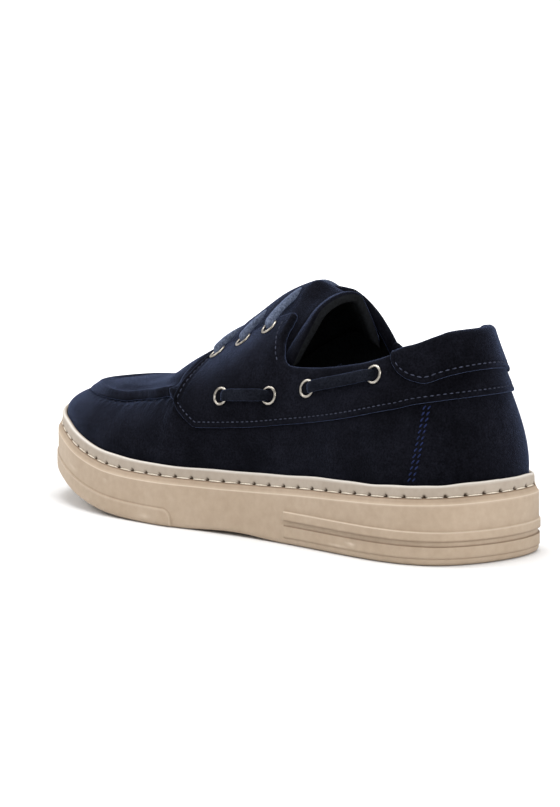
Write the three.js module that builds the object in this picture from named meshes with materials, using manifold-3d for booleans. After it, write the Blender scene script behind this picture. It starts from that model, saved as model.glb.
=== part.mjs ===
// Left boat shoe in suede on a rubber cup sole, in millimetres.
// +Y points to the toe, +X to the inner (medial) side, +Z up. The origin is under the middle of the sole.
// Stations run round the shoe: a share of the length, 0 at the back of the heel and 1 at the tip of the toe,
// on the outer (lateral) or the inner (medial) side.

import * as THREE from 'three';
import { mergeVertices } from 'three/addons/utils/BufferGeometryUtils.js';
import Module from 'manifold-3d';

const wasm = await Module();
wasm.setup();

// Driving sizes
const sole_length = 300;
const ball_width = 106;
const heel_rim = 36.8;
const waist_rim = 29.5;
const toe_rim = 28;
const toe_spring = 16.5;
const heel_height = 102.4;
const collar_low = 82;
const instep_height = 114;
const throat_front_height = 80.8;
const throat_front = 0.605;
const wall = 2.2;
const overlay = 1.2;
const gap = 0.3;
const layer_gap = 0.4;

// Sizes of the sole and its side
const rim_strip_height = 5.3;
const rim_strip_inset = 2.2;
const upper_inset = 4.7;
const lip_drop = 8.5;
const lip_inset = 1.8;
const heel_floor = 22;
const toe_floor = 15;
const tread_depth = 2;
const tread_width = 3.2;
const tread_pitch = 13;
const tread_margin = 9;
const tread_heel_first = 22;
const tread_heel_last = 90;
const tread_toe_first = 180;
const tread_toe_last = 262;
const arch_depth = 1.4;
const arch_from = 0.33;
const arch_to = 0.56;

// Sizes of the small parts
const insole_thickness = 4;
const tongue_thickness = 2.6;
const tongue_drop = 3.4;
const moc_seam_height = 2.4;
const moc_seam_width = 3;
const eyelet_outer = 4.5;
const eyelet_hole = 3.2;
const eyelet_barrel = 3.6;
const eyelet_flange = 0.9;
const eyelet_lift = 0.45;
const eyelet_sides = 8;
const side_lace_width = 5.8;
const side_lace_thickness = 1.8;
const throat_lace_width = 4.6;
const throat_lace_thickness = 2;
const lace_clearance = 1.4;
const throat_lace_arch = 0.26;

// Half widths of the sole body, as shares of the ball width, from the heel's long axis
const sole_outline = [
  { at: 0.00, lateral: 0.000, medial: 0.000 },
  { at: 0.01, lateral: 0.188, medial: 0.190 },
  { at: 0.03, lateral: 0.297, medial: 0.299 },
  { at: 0.06, lateral: 0.362, medial: 0.359 },
  { at: 0.10, lateral: 0.402, medial: 0.395 },
  { at: 0.15, lateral: 0.420, medial: 0.407 },
  { at: 0.20, lateral: 0.422, medial: 0.403 },
  { at: 0.30, lateral: 0.417, medial: 0.380 },
  { at: 0.40, lateral: 0.428, medial: 0.368 },
  { at: 0.50, lateral: 0.464, medial: 0.370 },
  { at: 0.60, lateral: 0.510, medial: 0.406 },
  { at: 0.70, lateral: 0.516, medial: 0.458 },
  { at: 0.80, lateral: 0.472, medial: 0.481 },
  { at: 0.88, lateral: 0.386, medial: 0.452 },
  { at: 0.94, lateral: 0.271, medial: 0.374 },
  { at: 0.98, lateral: 0.116, medial: 0.253 },
  { at: 1.00, lateral: -0.066, medial: 0.066 },
];

// Toe spring under the forefoot, as a share of the whole spring
const spring_curve = [
  { at: 0.00, lift: 0 },
  { at: 0.60, lift: 0 },
  { at: 0.66, lift: 0.017 },
  { at: 0.72, lift: 0.09 },
  { at: 0.78, lift: 0.24 },
  { at: 0.84, lift: 0.48 },
  { at: 0.90, lift: 0.75 },
  { at: 0.95, lift: 0.91 },
  { at: 1.00, lift: 1 },
];

// The steps of the sole's side: bands round the heel and one low step round the toe
const side_steps = [
  { up: 0, out: -3, heel: 0, toe: 0 },
  { up: 1, out: -0.9, heel: 0, toe: 0 },
  { up: 3.2, out: 0, heel: 0.5, toe: 0.6 },
  { up: 8.3, out: 0, heel: 0.5, toe: 0.6 },
  { up: 8.8, out: 0, heel: -0.4, toe: 0 },
  { up: 11, out: 0, heel: -0.4, toe: 0 },
  { up: 11.4, out: 0, heel: 0.7, toe: 0 },
  { up: 15.2, out: 0, heel: 0.7, toe: 0 },
  { up: 15.7, out: 0, heel: 0, toe: 0 },
];
const heel_bands_end = 0.33;
const toe_step_start = 0.565;

// Middle line of the last, as shares of the ball width, and where the stations' sections meet it
const spine_line = [
  { at: 0.00, x: 0 },
  { at: 0.20, x: 0.005 },
  { at: 0.40, x: 0.019 },
  { at: 0.60, x: 0.014 },
  { at: 0.75, x: 0.014 },
  { at: 0.90, x: 0.057 },
  { at: 1.00, x: 0.066 },
];
const heel_fan = 0.20;
const toe_fan = 0.74;
const toe_pull = 0.45;

// Top of the closed forefoot, over the rim, as a share of that height at the throat's front
const vamp_ridge = [
  { at: 0.605, rise: 1 },
  { at: 0.63, rise: 0.934 },
  { at: 0.66, rise: 0.822 },
  { at: 0.70, rise: 0.70 },
  { at: 0.74, rise: 0.61 },
  { at: 0.78, rise: 0.533 },
  { at: 0.82, rise: 0.446 },
  { at: 0.86, rise: 0.335 },
  { at: 0.90, rise: 0.218 },
];

// Upper end of the last's wall: its height as a share of the way from the throat's front to the instep,
// and its reach as a share of the way from the sole's rim to the spine
const last_top = [
  { at: 0.00, lateral_rise: 0.754, lateral_reach: 0.318, medial_rise: 0.754, medial_reach: 0.318 },
  { at: 0.03, lateral_rise: 0.754, lateral_reach: 0.345, medial_rise: 0.754, medial_reach: 0.385 },
  { at: 0.06, lateral_rise: 0.754, lateral_reach: 0.362, medial_rise: 0.754, medial_reach: 0.420 },
  { at: 0.12, lateral_rise: 0.754, lateral_reach: 0.365, medial_rise: 0.754, medial_reach: 0.410 },
  { at: 0.20, lateral_rise: 0.754, lateral_reach: 0.360, medial_rise: 0.769, medial_reach: 0.390 },
  { at: 0.30, lateral_rise: 0.754, lateral_reach: 0.405, medial_rise: 0.810, medial_reach: 0.405 },
  { at: 0.36, lateral_rise: 0.738, lateral_reach: 0.495, medial_rise: 0.905, medial_reach: 0.475 },
  { at: 0.395, lateral_rise: 0.700, lateral_reach: 0.600, medial_rise: 0.935, medial_reach: 0.555 },
  { at: 0.43, lateral_rise: 0.625, lateral_reach: 0.635, medial_rise: 0.955, medial_reach: 0.585 },
  { at: 0.50, lateral_rise: 0.330, lateral_reach: 0.645, medial_rise: 0.650, medial_reach: 0.610 },
  { at: 0.56, lateral_rise: 0.080, lateral_reach: 0.650, medial_rise: 0.270, medial_reach: 0.630 },
  { at: 0.585, lateral_rise: 0.000, lateral_reach: 0.720, medial_rise: 0.125, medial_reach: 0.710 },
  { at: 0.60, lateral_rise: -0.005, lateral_reach: 0.870, medial_rise: 0.030, medial_reach: 0.870 },
  { at: 0.605, lateral_rise: 0, lateral_reach: 1, medial_rise: 0, medial_reach: 1 },
];

// The collar's edge: from the heel's height down to its low point, then up the rear edge of the eyestay
const collar_edge = [
  { at: 0, lateral_heel: 1, lateral_stay: 0, medial_heel: 1, medial_stay: 0 },
  { at: 0.0075, lateral_heel: 0.975, lateral_stay: 0, medial_heel: 0.998, medial_stay: 0 },
  { at: 0.018, lateral_heel: 0.9, lateral_stay: 0, medial_heel: 0.992, medial_stay: 0 },
  { at: 0.035, lateral_heel: 0.815, lateral_stay: 0, medial_heel: 0.973, medial_stay: 0 },
  { at: 0.06, lateral_heel: 0.715, lateral_stay: 0, medial_heel: 0.91, medial_stay: 0 },
  { at: 0.09, lateral_heel: 0.63, lateral_stay: 0, medial_heel: 0.776, medial_stay: 0 },
  { at: 0.12, lateral_heel: 0.515, lateral_stay: 0, medial_heel: 0.651, medial_stay: 0 },
  { at: 0.155, lateral_heel: 0.385, lateral_stay: 0, medial_heel: 0.521, medial_stay: 0 },
  { at: 0.215, lateral_heel: 0.2, lateral_stay: 0, medial_heel: 0.316, medial_stay: 0 },
  { at: 0.27, lateral_heel: 0.055, lateral_stay: 0, medial_heel: 0.17, medial_stay: 0 },
  { at: 0.315, lateral_heel: -0.03, lateral_stay: 0, medial_heel: 0.003, medial_stay: 0.059 },
  { at: 0.345, lateral_heel: -0.055, lateral_stay: 0, medial_heel: 0, medial_stay: 0.19 },
  { at: 0.358, lateral_heel: -0.055, lateral_stay: 0.008, medial_heel: 0, medial_stay: 0.44 },
  { at: 0.37, lateral_heel: -0.05, lateral_stay: 0.07, medial_heel: 0, medial_stay: 0.69 },
  { at: 0.38, lateral_heel: -0.04, lateral_stay: 0.19, medial_heel: 0, medial_stay: 0.852 },
  { at: 0.389, lateral_heel: -0.03, lateral_stay: 0.37, medial_heel: 0, medial_stay: 0.953 },
  { at: 0.398, lateral_heel: -0.02, lateral_stay: 0.56, medial_heel: 0, medial_stay: 1 },
  { at: 0.405, lateral_heel: -0.01, lateral_stay: 0.76, medial_heel: 0, medial_stay: 1 },
  { at: 0.41, lateral_heel: 0, lateral_stay: 1, medial_heel: 0, medial_stay: 1 },
];

// How the wall bends between rim and top: fullness at both ends, lean of the top in degrees, outward bulge
const wall_shape = [
  { at: 0.00, low: 0.35, high: 0.35, lean: 74, bulge: 1 },
  { at: 0.10, low: 0.35, high: 0.35, lean: 74, bulge: 1 },
  { at: 0.20, low: 0.36, high: 0.35, lean: 75, bulge: 1 },
  { at: 0.30, low: 0.42, high: 0.38, lean: 70, bulge: 1 },
  { at: 0.36, low: 0.52, high: 0.42, lean: 58, bulge: 1.2 },
  { at: 0.41, low: 0.60, high: 0.45, lean: 42, bulge: 1.5 },
  { at: 0.50, low: 0.60, high: 0.50, lean: 34, bulge: 1.5 },
  { at: 0.56, low: 0.60, high: 0.50, lean: 32, bulge: 1.5 },
  { at: 0.585, low: 0.59, high: 0.52, lean: 24, bulge: 1.5 },
  { at: 0.605, low: 0.58, high: 0.55, lean: 0, bulge: 1.5 },
  { at: 0.70, low: 0.56, high: 0.56, lean: 0, bulge: 1.5 },
  { at: 0.85, low: 0.55, high: 0.55, lean: 0, bulge: 0.5 },
  { at: 1.00, low: 0.50, high: 0.50, lean: 0, bulge: -1 },
];

// Lower edge of the saddle and collar band over the rim, as a share of the heel's height
const saddle_low_edge = [
  { at: 0.000, rise: 0.366 },
  { at: 0.030, rise: 0.357 },
  { at: 0.065, rise: 0.346 },
  { at: 0.105, rise: 0.326 },
  { at: 0.130, rise: 0.316 },
  { at: 0.195, rise: 0.285 },
  { at: 0.250, rise: 0.258 },
  { at: 0.305, rise: 0.238 },
  { at: 0.355, rise: 0.223 },
  { at: 0.410, rise: 0.206 },
  { at: 0.460, rise: 0.195 },
  { at: 0.530, rise: 0.180 },
];

// Lower front corner of the saddle, as a share up the wall
const saddle_corner = [
  { at: 0.53, up: 0.205 },
  { at: 0.5575, up: 0.292 },
  { at: 0.5718, up: 0.345 },
  { at: 0.585, up: 0.395 },
];
const saddle_start = 0.53;
const saddle_front = 0.585;

// Edge of the apron on the forefoot, as a share up the wall
const apron_edge = [
  { at: 0.589, up: 0.425 },
  { at: 0.61, up: 0.42 },
  { at: 0.635, up: 0.43 },
  { at: 0.66, up: 0.458 },
  { at: 0.68, up: 0.485 },
  { at: 0.72, up: 0.512 },
  { at: 0.80, up: 0.502 },
  { at: 0.86, up: 0.507 },
  { at: 0.92, up: 0.528 },
  { at: 1.00, up: 0.56 },
];
const apron_back = 0.589;

// Lower edge of the heel patch, as a share of the heel's height, on both sides
const patch_low_edge = [
  { at: 0, height: 0.832 },
  { at: 0.012, height: 0.818 },
  { at: 0.024, height: 0.803 },
  { at: 0.034, height: 0.791 },
  { at: 0.047, height: 0.784 },
  { at: 0.063, height: 0.790 },
  { at: 0.093, height: 0.815 },
  { at: 0.1087, height: 0.846 },
  { at: 0.115, height: 0.868 },
];

// Eyelets of the side lace and of the throat, as shares along and up the wall
const side_eyelets = [
  { name: 'front', at: 0.480, up: 0.388 },
  { name: 'front_rear', at: 0.380, up: 0.388 },
  { name: 'rear_front', at: 0.306, up: 0.520 },
  { name: 'rear', at: 0.158, up: 0.675 },
];
const throat_eyelets = [
  { name: 'low', at: 0.563, up: 0.908 },
  { name: 'middle', at: 0.505, up: 0.908 },
  { name: 'top', at: 0.446, up: 0.903 },
];

// Stations of the upper, as shares of the length
const stations = [
  0, 0.006, 0.022, 0.05, 0.083, 0.115, 0.15, 0.20, 0.27, 0.33, 0.35, 0.37, 0.383, 0.397, 0.41, 0.44, 0.48,
  0.53, 0.565, 0.585, 0.589, 0.60, 0.605, 0.63, 0.66, 0.70, 0.75, 0.80, 0.85, 0.90, 0.94, 0.97, 0.99, 1,
];

// Stations of the sole, with a pair where the heel's bands and the toe's step end
const sole_stations = [
  0, 0.006, 0.022, 0.05, 0.083, 0.115, 0.15, 0.20, 0.27, 0.328, 0.332, 0.37, 0.40, 0.43, 0.48, 0.53, 0.5625,
  0.5675, 0.605, 0.65, 0.70, 0.75, 0.80, 0.85, 0.90, 0.94, 0.97, 0.99, 1,
];

// Monotone cubic curve through one column of a table
function curve(rows, column, place = row => row.at) {
  const x = rows.map(place);
  const y = rows.map(row => row[column]);
  const last = x.length - 1;
  const step = x.slice(1).map((value, i) => value - x[i]);
  const rate = step.map((value, i) => (y[i + 1] - y[i]) / value);
  const slope = new Array(last + 1).fill(0);
  for (let i = 1; i < last; i++) {
    if (rate[i - 1] * rate[i] > 0) {
      const a = 2 * step[i] + step[i - 1];
      const b = step[i] + 2 * step[i - 1];
      slope[i] = (a + b) / (a / rate[i - 1] + b / rate[i]);
    }
  }
  const end_slope = (h0, h1, r0, r1) => {
    const s = ((2 * h0 + h1) * r0 - h0 * r1) / (h0 + h1);
    if (s * r0 <= 0) return 0;
    return r0 * r1 <= 0 && Math.abs(s) > Math.abs(3 * r0) ? 3 * r0 : s;
  };
  slope[0] = end_slope(step[0], step[1], rate[0], rate[1]);
  slope[last] = end_slope(step[last - 1], step[last - 2], rate[last - 1], rate[last - 2]);
  return at => {
    const here = Math.min(Math.max(at, x[0]), x[last]);
    let i = 0;
    while (i < last - 1 && here > x[i + 1]) i++;
    const h = step[i];
    const s = (here - x[i]) / h;
    const whole = y[i] * (1 + 2 * s) * (1 - s) ** 2 + y[i + 1] * s * s * (3 - 2 * s);
    return whole + h * (slope[i] * s * (1 - s) ** 2 + slope[i + 1] * s * s * (s - 1));
  };
}

// A turn counts half turns round the shoe: 0 heel, 1 toe on the lateral side, 2 heel again on the medial side
const turn_of_share = share => Math.acos(1 - 2 * share) / Math.PI;
const wrap = turn => ((turn % 2) + 2) % 2;
const fold = turn => (wrap(turn) <= 1 ? wrap(turn) : 2 - wrap(turn));
const side_of = turn => (wrap(turn) <= 1 ? 'lateral' : 'medial');
const share_of = turn => (1 - Math.cos(Math.PI * fold(turn))) / 2;
const turn_at = (share, side) => (side === 'lateral' ? turn_of_share(share) : 2 - turn_of_share(share));

const width_curve = {
  lateral: curve(sole_outline, 'lateral', row => turn_of_share(row.at)),
  medial: curve(sole_outline, 'medial', row => turn_of_share(row.at)),
};
const spring_share = curve(spring_curve, 'lift');
const spine_x = curve(spine_line, 'x');
const ridge_rise = curve(vamp_ridge, 'rise');
const top_rise = { lateral: curve(last_top, 'lateral_rise'), medial: curve(last_top, 'medial_rise') };
const top_reach = { lateral: curve(last_top, 'lateral_reach'), medial: curve(last_top, 'medial_reach') };
const collar_heel = { lateral: curve(collar_edge, 'lateral_heel'), medial: curve(collar_edge, 'medial_heel') };
const collar_stay = { lateral: curve(collar_edge, 'lateral_stay'), medial: curve(collar_edge, 'medial_stay') };
const shape_low = curve(wall_shape, 'low');
const shape_high = curve(wall_shape, 'high');
const shape_lean = curve(wall_shape, 'lean');
const shape_bulge = curve(wall_shape, 'bulge');
const rim_curve = curve([
  { at: 0, high: heel_rim },
  { at: 0.25, high: (heel_rim + waist_rim) / 2 },
  { at: 0.5, high: waist_rim },
  { at: 1, high: toe_rim },
], 'high');

// Heights along the sole
const spring_at = share => toe_spring * spring_share(share);
const rim_at = share => rim_curve(share) + spring_at(share);
const floor_at = share => heel_floor + (toe_floor - heel_floor) * Math.min(share / 0.5, 1) + spring_at(share);

// Outline of the sole body, its outward direction, and the outline moved in or out
function outline_point(turn) {
  const side = side_of(turn);
  const half = width_curve[side](fold(turn)) * ball_width;
  return new THREE.Vector2(side === 'lateral' ? -half : half, share_of(turn) * sole_length);
}
const probe = 0.002;
function outward(turn) {
  const run = outline_point(turn + probe).sub(outline_point(turn - probe)).normalize();
  return new THREE.Vector2(-run.y, run.x);
}
function outline_moved(turn, out) {
  return outline_point(turn).addScaledVector(outward(turn), out);
}

// The point of the spine that a station looks at, fanned out at heel and toe
function spine_share(share) {
  if (share < heel_fan) return heel_fan;
  return share > toe_fan ? toe_fan + (share - toe_fan) * toe_pull : share;
}
function spine_point(share) {
  const at = spine_share(share);
  return new THREE.Vector2(spine_x(at) * ball_width, at * sole_length);
}

// Height of the upper end of the last's wall
const throat_rim = rim_at(throat_front);
function last_top_height(share, side) {
  if (share < throat_front) {
    return throat_front_height + (instep_height - throat_front_height) * top_rise[side](share);
  }
  const along = spine_share(share);
  return rim_at(along) + (throat_front_height - throat_rim) * ridge_rise(along);
}

// One section of the last's wall, a cubic from the rim to the top
function wall_section(turn) {
  const share = share_of(turn);
  const side = side_of(turn);
  const out = outward(turn);
  const foot = outline_moved(turn, -upper_inset);
  const foot_height = rim_at(share);
  const inward = spine_point(share).sub(foot);
  const reach = share < throat_front ? top_reach[side](share) : 1;
  const width = inward.length() * reach;
  inward.normalize();
  const top_height = last_top_height(share, side);
  const rise = top_height - foot_height;
  const lean = THREE.MathUtils.degToRad(shape_lean(share));
  const hold = shape_high(share) * (width * Math.cos(lean) + rise * Math.sin(lean));
  const low = foot.clone().addScaledVector(out, shape_bulge(share));
  const top = foot.clone().addScaledVector(inward, width);
  const high = top.clone().addScaledVector(inward, -hold * Math.cos(lean));
  return new THREE.CubicBezierCurve3(
    new THREE.Vector3(foot.x, foot.y, foot_height),
    new THREE.Vector3(low.x, low.y, foot_height + shape_low(share) * rise),
    new THREE.Vector3(high.x, high.y, top_height - hold * Math.sin(lean)),
    new THREE.Vector3(top.x, top.y, top_height),
  );
}
const sections = new Map();
function section(turn) {
  const key = wrap(turn).toFixed(7);
  if (!sections.has(key)) sections.set(key, wall_section(wrap(turn)));
  return sections.get(key);
}
const last_point = (turn, up) => section(turn).getPoint(up);

// Share up the wall at which it has a given height
function up_at_height(turn, height) {
  let low = 0;
  let high = 1;
  for (let i = 0; i < 24; i++) {
    const middle = (low + high) / 2;
    if (last_point(turn, middle).z < height) low = middle;
    else high = middle;
  }
  return (low + high) / 2;
}

// Share up the wall at which the upper ends
function edge_up(turn) {
  const share = share_of(turn);
  if (share >= collar_edge.at(-1).at) return 1;
  const side = side_of(turn);
  const stay = last_top_height(share, side);
  const height = collar_low + (heel_height - collar_low) * collar_heel[side](share)
    + (stay - collar_low) * collar_stay[side](share);
  return up_at_height(turn, height);
}

// Outward direction of the wall; along the closed ridge both sides share one
const ridge_margin = 0.97;
function raw_normal(turn, up) {
  const level = Math.min(up, ridge_margin);
  const along = last_point(turn + probe, level).sub(last_point(turn - probe, level));
  const upward = last_point(turn, Math.min(up + probe, 1)).sub(last_point(turn, Math.max(up - probe, 0)));
  return upward.cross(along).normalize();
}
const is_closed = share => share >= throat_front - 1e-6;
function wall_normal(turn, up) {
  const normal = raw_normal(turn, up);
  if (up > 0.999 && is_closed(share_of(turn))) normal.add(raw_normal(2 - turn, up)).normalize();
  return normal;
}
function wall_point(turn, up, out) {
  return last_point(turn, up).addScaledVector(wall_normal(turn, up), out);
}

// Mesh helpers: faces are quads between grid rows, merged into one closed body that faces outwards
class Faces {
  constructor() {
    this.points = [];
  }
  triangle(a, b, c) {
    this.points.push(a, b, c);
  }
  quad(a, b, c, d) {
    this.triangle(a, b, c);
    this.triangle(a, c, d);
  }
  geometry() {
    const flat = this.points.flatMap(point => [point.x, point.y, point.z]);
    const loose = new THREE.BufferGeometry();
    loose.setAttribute('position', new THREE.Float32BufferAttribute(flat, 3));
    const merged = mergeVertices(loose, 1e-3);
    const index = Array.from(merged.index.array);
    const kept = [];
    for (let i = 0; i < index.length; i += 3) {
      const [a, b, c] = index.slice(i, i + 3);
      if (a !== b && b !== c && c !== a) kept.push(a, b, c);
    }
    merged.setIndex(signed_volume(merged, kept) < 0 ? flipped(kept) : kept);
    return merged;
  }
}
function signed_volume(geometry, index) {
  const position = geometry.attributes.position;
  const [a, b, c] = [new THREE.Vector3(), new THREE.Vector3(), new THREE.Vector3()];
  let sum = 0;
  for (let i = 0; i < index.length; i += 3) {
    a.fromBufferAttribute(position, index[i]);
    b.fromBufferAttribute(position, index[i + 1]);
    c.fromBufferAttribute(position, index[i + 2]);
    sum += a.dot(b.cross(c));
  }
  return sum;
}
function flipped(index) {
  const turned = index.slice();
  for (let i = 0; i < turned.length; i += 3) [turned[i], turned[i + 1]] = [turned[i + 1], turned[i]];
  return turned;
}

// A wall between an outer and an inner grid; open_top says where two neighbouring columns end in an edge
function between(outer, inner, { ring = false, open_top = () => true } = {}) {
  const faces = new Faces();
  const columns = outer.length;
  const rows = outer[0].length;
  const spans = ring ? columns : columns - 1;
  for (let i = 0; i < spans; i++) {
    const k = (i + 1) % columns;
    for (let j = 0; j < rows - 1; j++) {
      faces.quad(outer[i][j], outer[k][j], outer[k][j + 1], outer[i][j + 1]);
      faces.quad(inner[i][j], inner[i][j + 1], inner[k][j + 1], inner[k][j]);
    }
    faces.quad(outer[i][0], inner[i][0], inner[k][0], outer[k][0]);
    if (open_top(i, k)) faces.quad(outer[i][rows - 1], outer[k][rows - 1], inner[k][rows - 1], inner[i][rows - 1]);
  }
  if (!ring) {
    for (let j = 0; j < rows - 1; j++) {
      faces.quad(outer[0][j], outer[0][j + 1], inner[0][j + 1], inner[0][j]);
      const e = columns - 1;
      faces.quad(outer[e][j], inner[e][j], inner[e][j + 1], outer[e][j + 1]);
    }
  }
  return faces.geometry();
}

// A body through closed loops of equal count, capped across the shoe at both ends or closed on itself
function through_loops(loops, { closed = false } = {}) {
  const faces = new Faces();
  const count = loops[0].length;
  const last = loops.length - 1;
  for (let k = 0; k < (closed ? loops.length : last); k++) {
    const next = loops[(k + 1) % loops.length];
    for (let i = 0; i < count; i++) {
      const n = (i + 1) % count;
      faces.quad(loops[k][i], loops[k][n], next[n], next[i]);
    }
  }
  if (!closed) {
    const across = (loop, face) => {
      for (let i = 0; i < count / 2; i++) {
        face(loop[i], loop[i + 1], loop[(count - i - 1) % count], loop[(count - i) % count]);
      }
    };
    across(loops[0], (a, b, c, d) => faces.quad(d, c, b, a));
    across(loops[last], (a, b, c, d) => faces.quad(a, b, c, d));
  }
  return faces.geometry();
}

// Joins and cuts
function solid(geometry) {
  const bare = new THREE.BufferGeometry();
  bare.setAttribute('position', geometry.attributes.position.clone());
  if (geometry.index) bare.setIndex(geometry.index.clone());
  const merged = mergeVertices(bare, 1e-3);
  return new wasm.Manifold(new wasm.Mesh({
    numProp: 3,
    vertProperties: new Float32Array(merged.attributes.position.array),
    triVerts: new Uint32Array(merged.index.array),
  }));
}
function geometry_of(manifold) {
  const mesh = manifold.getMesh();
  const geometry = new THREE.BufferGeometry();
  geometry.setAttribute('position', new THREE.Float32BufferAttribute(mesh.vertProperties, 3));
  geometry.setIndex(Array.from(mesh.triVerts));
  return geometry;
}
const cut = (geometry, cutters) => geometry_of(cutters.reduce((body, tool) => body.subtract(solid(tool)), solid(geometry)));

const all_round = shares => [
  ...shares.map(share => turn_at(share, 'lateral')),
  ...shares.slice(1, -1).reverse().map(share => turn_at(share, 'medial')),
];
const wall_turns = all_round(stations);
const ring_turns = all_round(sole_stations);
const lift = (point, height) => new THREE.Vector3(point.x, point.y, height);

// The cup sole: its side from the bottom edge up, the ledge for the rim strip, then down inside to the floor
function arch_at(share) {
  const along = (share - arch_from) / (arch_to - arch_from);
  return along > 0 && along < 1 ? arch_depth * Math.sin(Math.PI * along) ** 2 : 0;
}
function sole_side_point(turn, row) {
  const share = share_of(turn);
  let out = row.out;
  if (share < heel_bands_end) out += row.heel;
  if (share > toe_step_start) out += row.toe;
  const arch = arch_at(share) * Math.max(1 - row.up / 8.3, 0);
  return lift(outline_moved(turn, out), row.up + arch + spring_at(share));
}
function sole_upper_point(turn, out, drop) {
  return lift(outline_moved(turn, out), rim_at(share_of(turn)) - drop);
}
function tread_tool(y) {
  const share = y / sole_length;
  const left = -width_curve.lateral(turn_of_share(share)) * ball_width + tread_margin;
  const right = width_curve.medial(turn_of_share(share)) * ball_width - tread_margin;
  const low = -toe_spring;
  const high = spring_at(share) + tread_depth;
  const tool = new THREE.BoxGeometry(right - left, tread_width, high - low);
  return tool.translate((left + right) / 2, y, (high + low) / 2);
}
function make_outsole() {
  const floor = ring_turns.map(turn => lift(outline_moved(turn, layer_gap - upper_inset), floor_at(share_of(turn))));
  const loops = [
    ...side_steps.map(row => ring_turns.map(turn => sole_side_point(turn, row))),
    ring_turns.map(turn => sole_upper_point(turn, 0, lip_drop)),
    ring_turns.map(turn => sole_upper_point(turn, -lip_inset, rim_strip_height + gap)),
    ring_turns.map(turn => sole_upper_point(turn, layer_gap - upper_inset, rim_strip_height + gap)),
    floor,
  ];
  return through_loops(loops);
}

const make_rim_strip = () => {
  const outer = -rim_strip_inset;
  const inner = layer_gap - upper_inset;
  const round = 0.8;
  return through_loops([
    ring_turns.map(turn => sole_upper_point(turn, outer, rim_strip_height)),
    ring_turns.map(turn => sole_upper_point(turn, outer, round)),
    ring_turns.map(turn => sole_upper_point(turn, outer - round, 0)),
    ring_turns.map(turn => sole_upper_point(turn, inner, 0)),
    ring_turns.map(turn => sole_upper_point(turn, inner, rim_strip_height)),
  ], { closed: true });
};

// The insole lies on the cup's floor inside the upper
function make_insole() {
  const edge = 0.8;
  const out = -upper_inset - wall - gap;
  const turns = ring_turns;
  const loop = (inset, up) => turns.map(turn => lift(outline_moved(turn, out - inset), floor_at(share_of(turn)) + up));
  return through_loops([
    loop(0, gap),
    loop(0, insole_thickness - edge),
    loop(edge, insole_thickness),
  ]);
}

// The line on the wall where the saddle begins behind and the apron in front; all layers share rows over it
const saddle_rise = curve(saddle_low_edge, 'rise');
const corner_up = curve(saddle_corner, 'up');
const apron_up = curve(apron_edge, 'up');
function layer_low(turn) {
  const share = share_of(turn);
  if (share > saddle_front + 1e-4) return apron_up(share);
  if (share > saddle_start + 1e-4) return corner_up(share);
  return up_at_height(turn, rim_at(share) + saddle_rise(share) * heel_height);
}
const layer_rows = [0, 0.25, 0.5, 0.75, 1];
function layer_ups(turn) {
  const low = layer_low(turn);
  const top = edge_up(turn);
  return layer_rows.map(row => low + (top - low) * row);
}

// The upper: one hollow wall from the cup's floor to the collar, the eyestays and the closed forefoot
function make_upper() {
  const grid = out => wall_turns.map(turn => {
    const skirt = lift(outline_moved(turn, out - upper_inset), floor_at(share_of(turn)) + gap);
    const ups = layer_ups(turn);
    const below = [0, 0.5].map(row => row * ups[0]);
    return [skirt, ...[...below, ...ups].map(up => wall_point(turn, up, out))];
  });
  const closed = wall_turns.map(turn => is_closed(share_of(turn)));
  const open = (i, k) => !(closed[i] && closed[k]);
  return between(grid(0), grid(-wall), { ring: true, open_top: open });
}

// A plate on the wall between two rows of turns and shares up the wall
function plate(columns, near, far) {
  const grid = out => columns.map(column => column.map(([turn, up]) => wall_point(turn, up, out)));
  return between(grid(far), grid(near));
}

// The saddle with the collar band: from the heel's middle forwards to the eyestay
const heel_split = 0.004;
function make_saddle(side) {
  const shares = stations.filter(share => share > 0 && share <= saddle_front + 1e-4);
  const first = side === 'lateral' ? heel_split : 2 - heel_split;
  const turns = [first, ...shares.map(share => turn_at(share, side))];
  if (side === 'medial') turns.reverse();
  const columns = turns.map(turn => layer_ups(turn).map(up => [turn, up]));
  return plate(columns, layer_gap, layer_gap + overlay);
}

// The apron with its raised moccasin seam, over the closed forefoot
function make_apron() {
  const shares = stations.filter(share => share >= apron_back - 1e-4);
  const turns = [
    ...shares.map(share => turn_at(share, 'lateral')),
    ...shares.slice(0, -1).reverse().map(share => turn_at(share, 'medial')),
  ];
  const seam = layer_gap + moc_seam_height;
  const flat = layer_gap + overlay;
  const near = [];
  const far = [];
  for (const turn of turns) {
    const ups = layer_ups(turn);
    const length = last_point(turn, ups[1]).distanceTo(last_point(turn, ups[0]));
    const inner = ups.map(up => wall_point(turn, up, layer_gap));
    const outer = ups.map(up => wall_point(turn, up, flat));
    const edge = [
      { inside: 0, out: seam - 0.9 },
      { inside: 0.8, out: seam },
      { inside: moc_seam_width - 0.8, out: seam - 0.3 },
      { inside: moc_seam_width, out: flat },
    ].map(({ inside, out }) => {
      const along = Math.min(inside / length, 0.8);
      const normal = wall_normal(turn, ups[0] + (ups[1] - ups[0]) * along);
      const base = inner[0].clone().lerp(inner[1], along);
      return { base, top: base.clone().addScaledVector(normal, out - layer_gap) };
    });
    near.push([...edge.map(point => point.base), ...inner.slice(1)]);
    far.push([...edge.map(point => point.top), ...outer.slice(1)]);
  }
  const closed = turns.map(turn => is_closed(share_of(turn)));
  return between(far, near, { open_top: (i, k) => !(closed[i] && closed[k]) });
}

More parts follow.
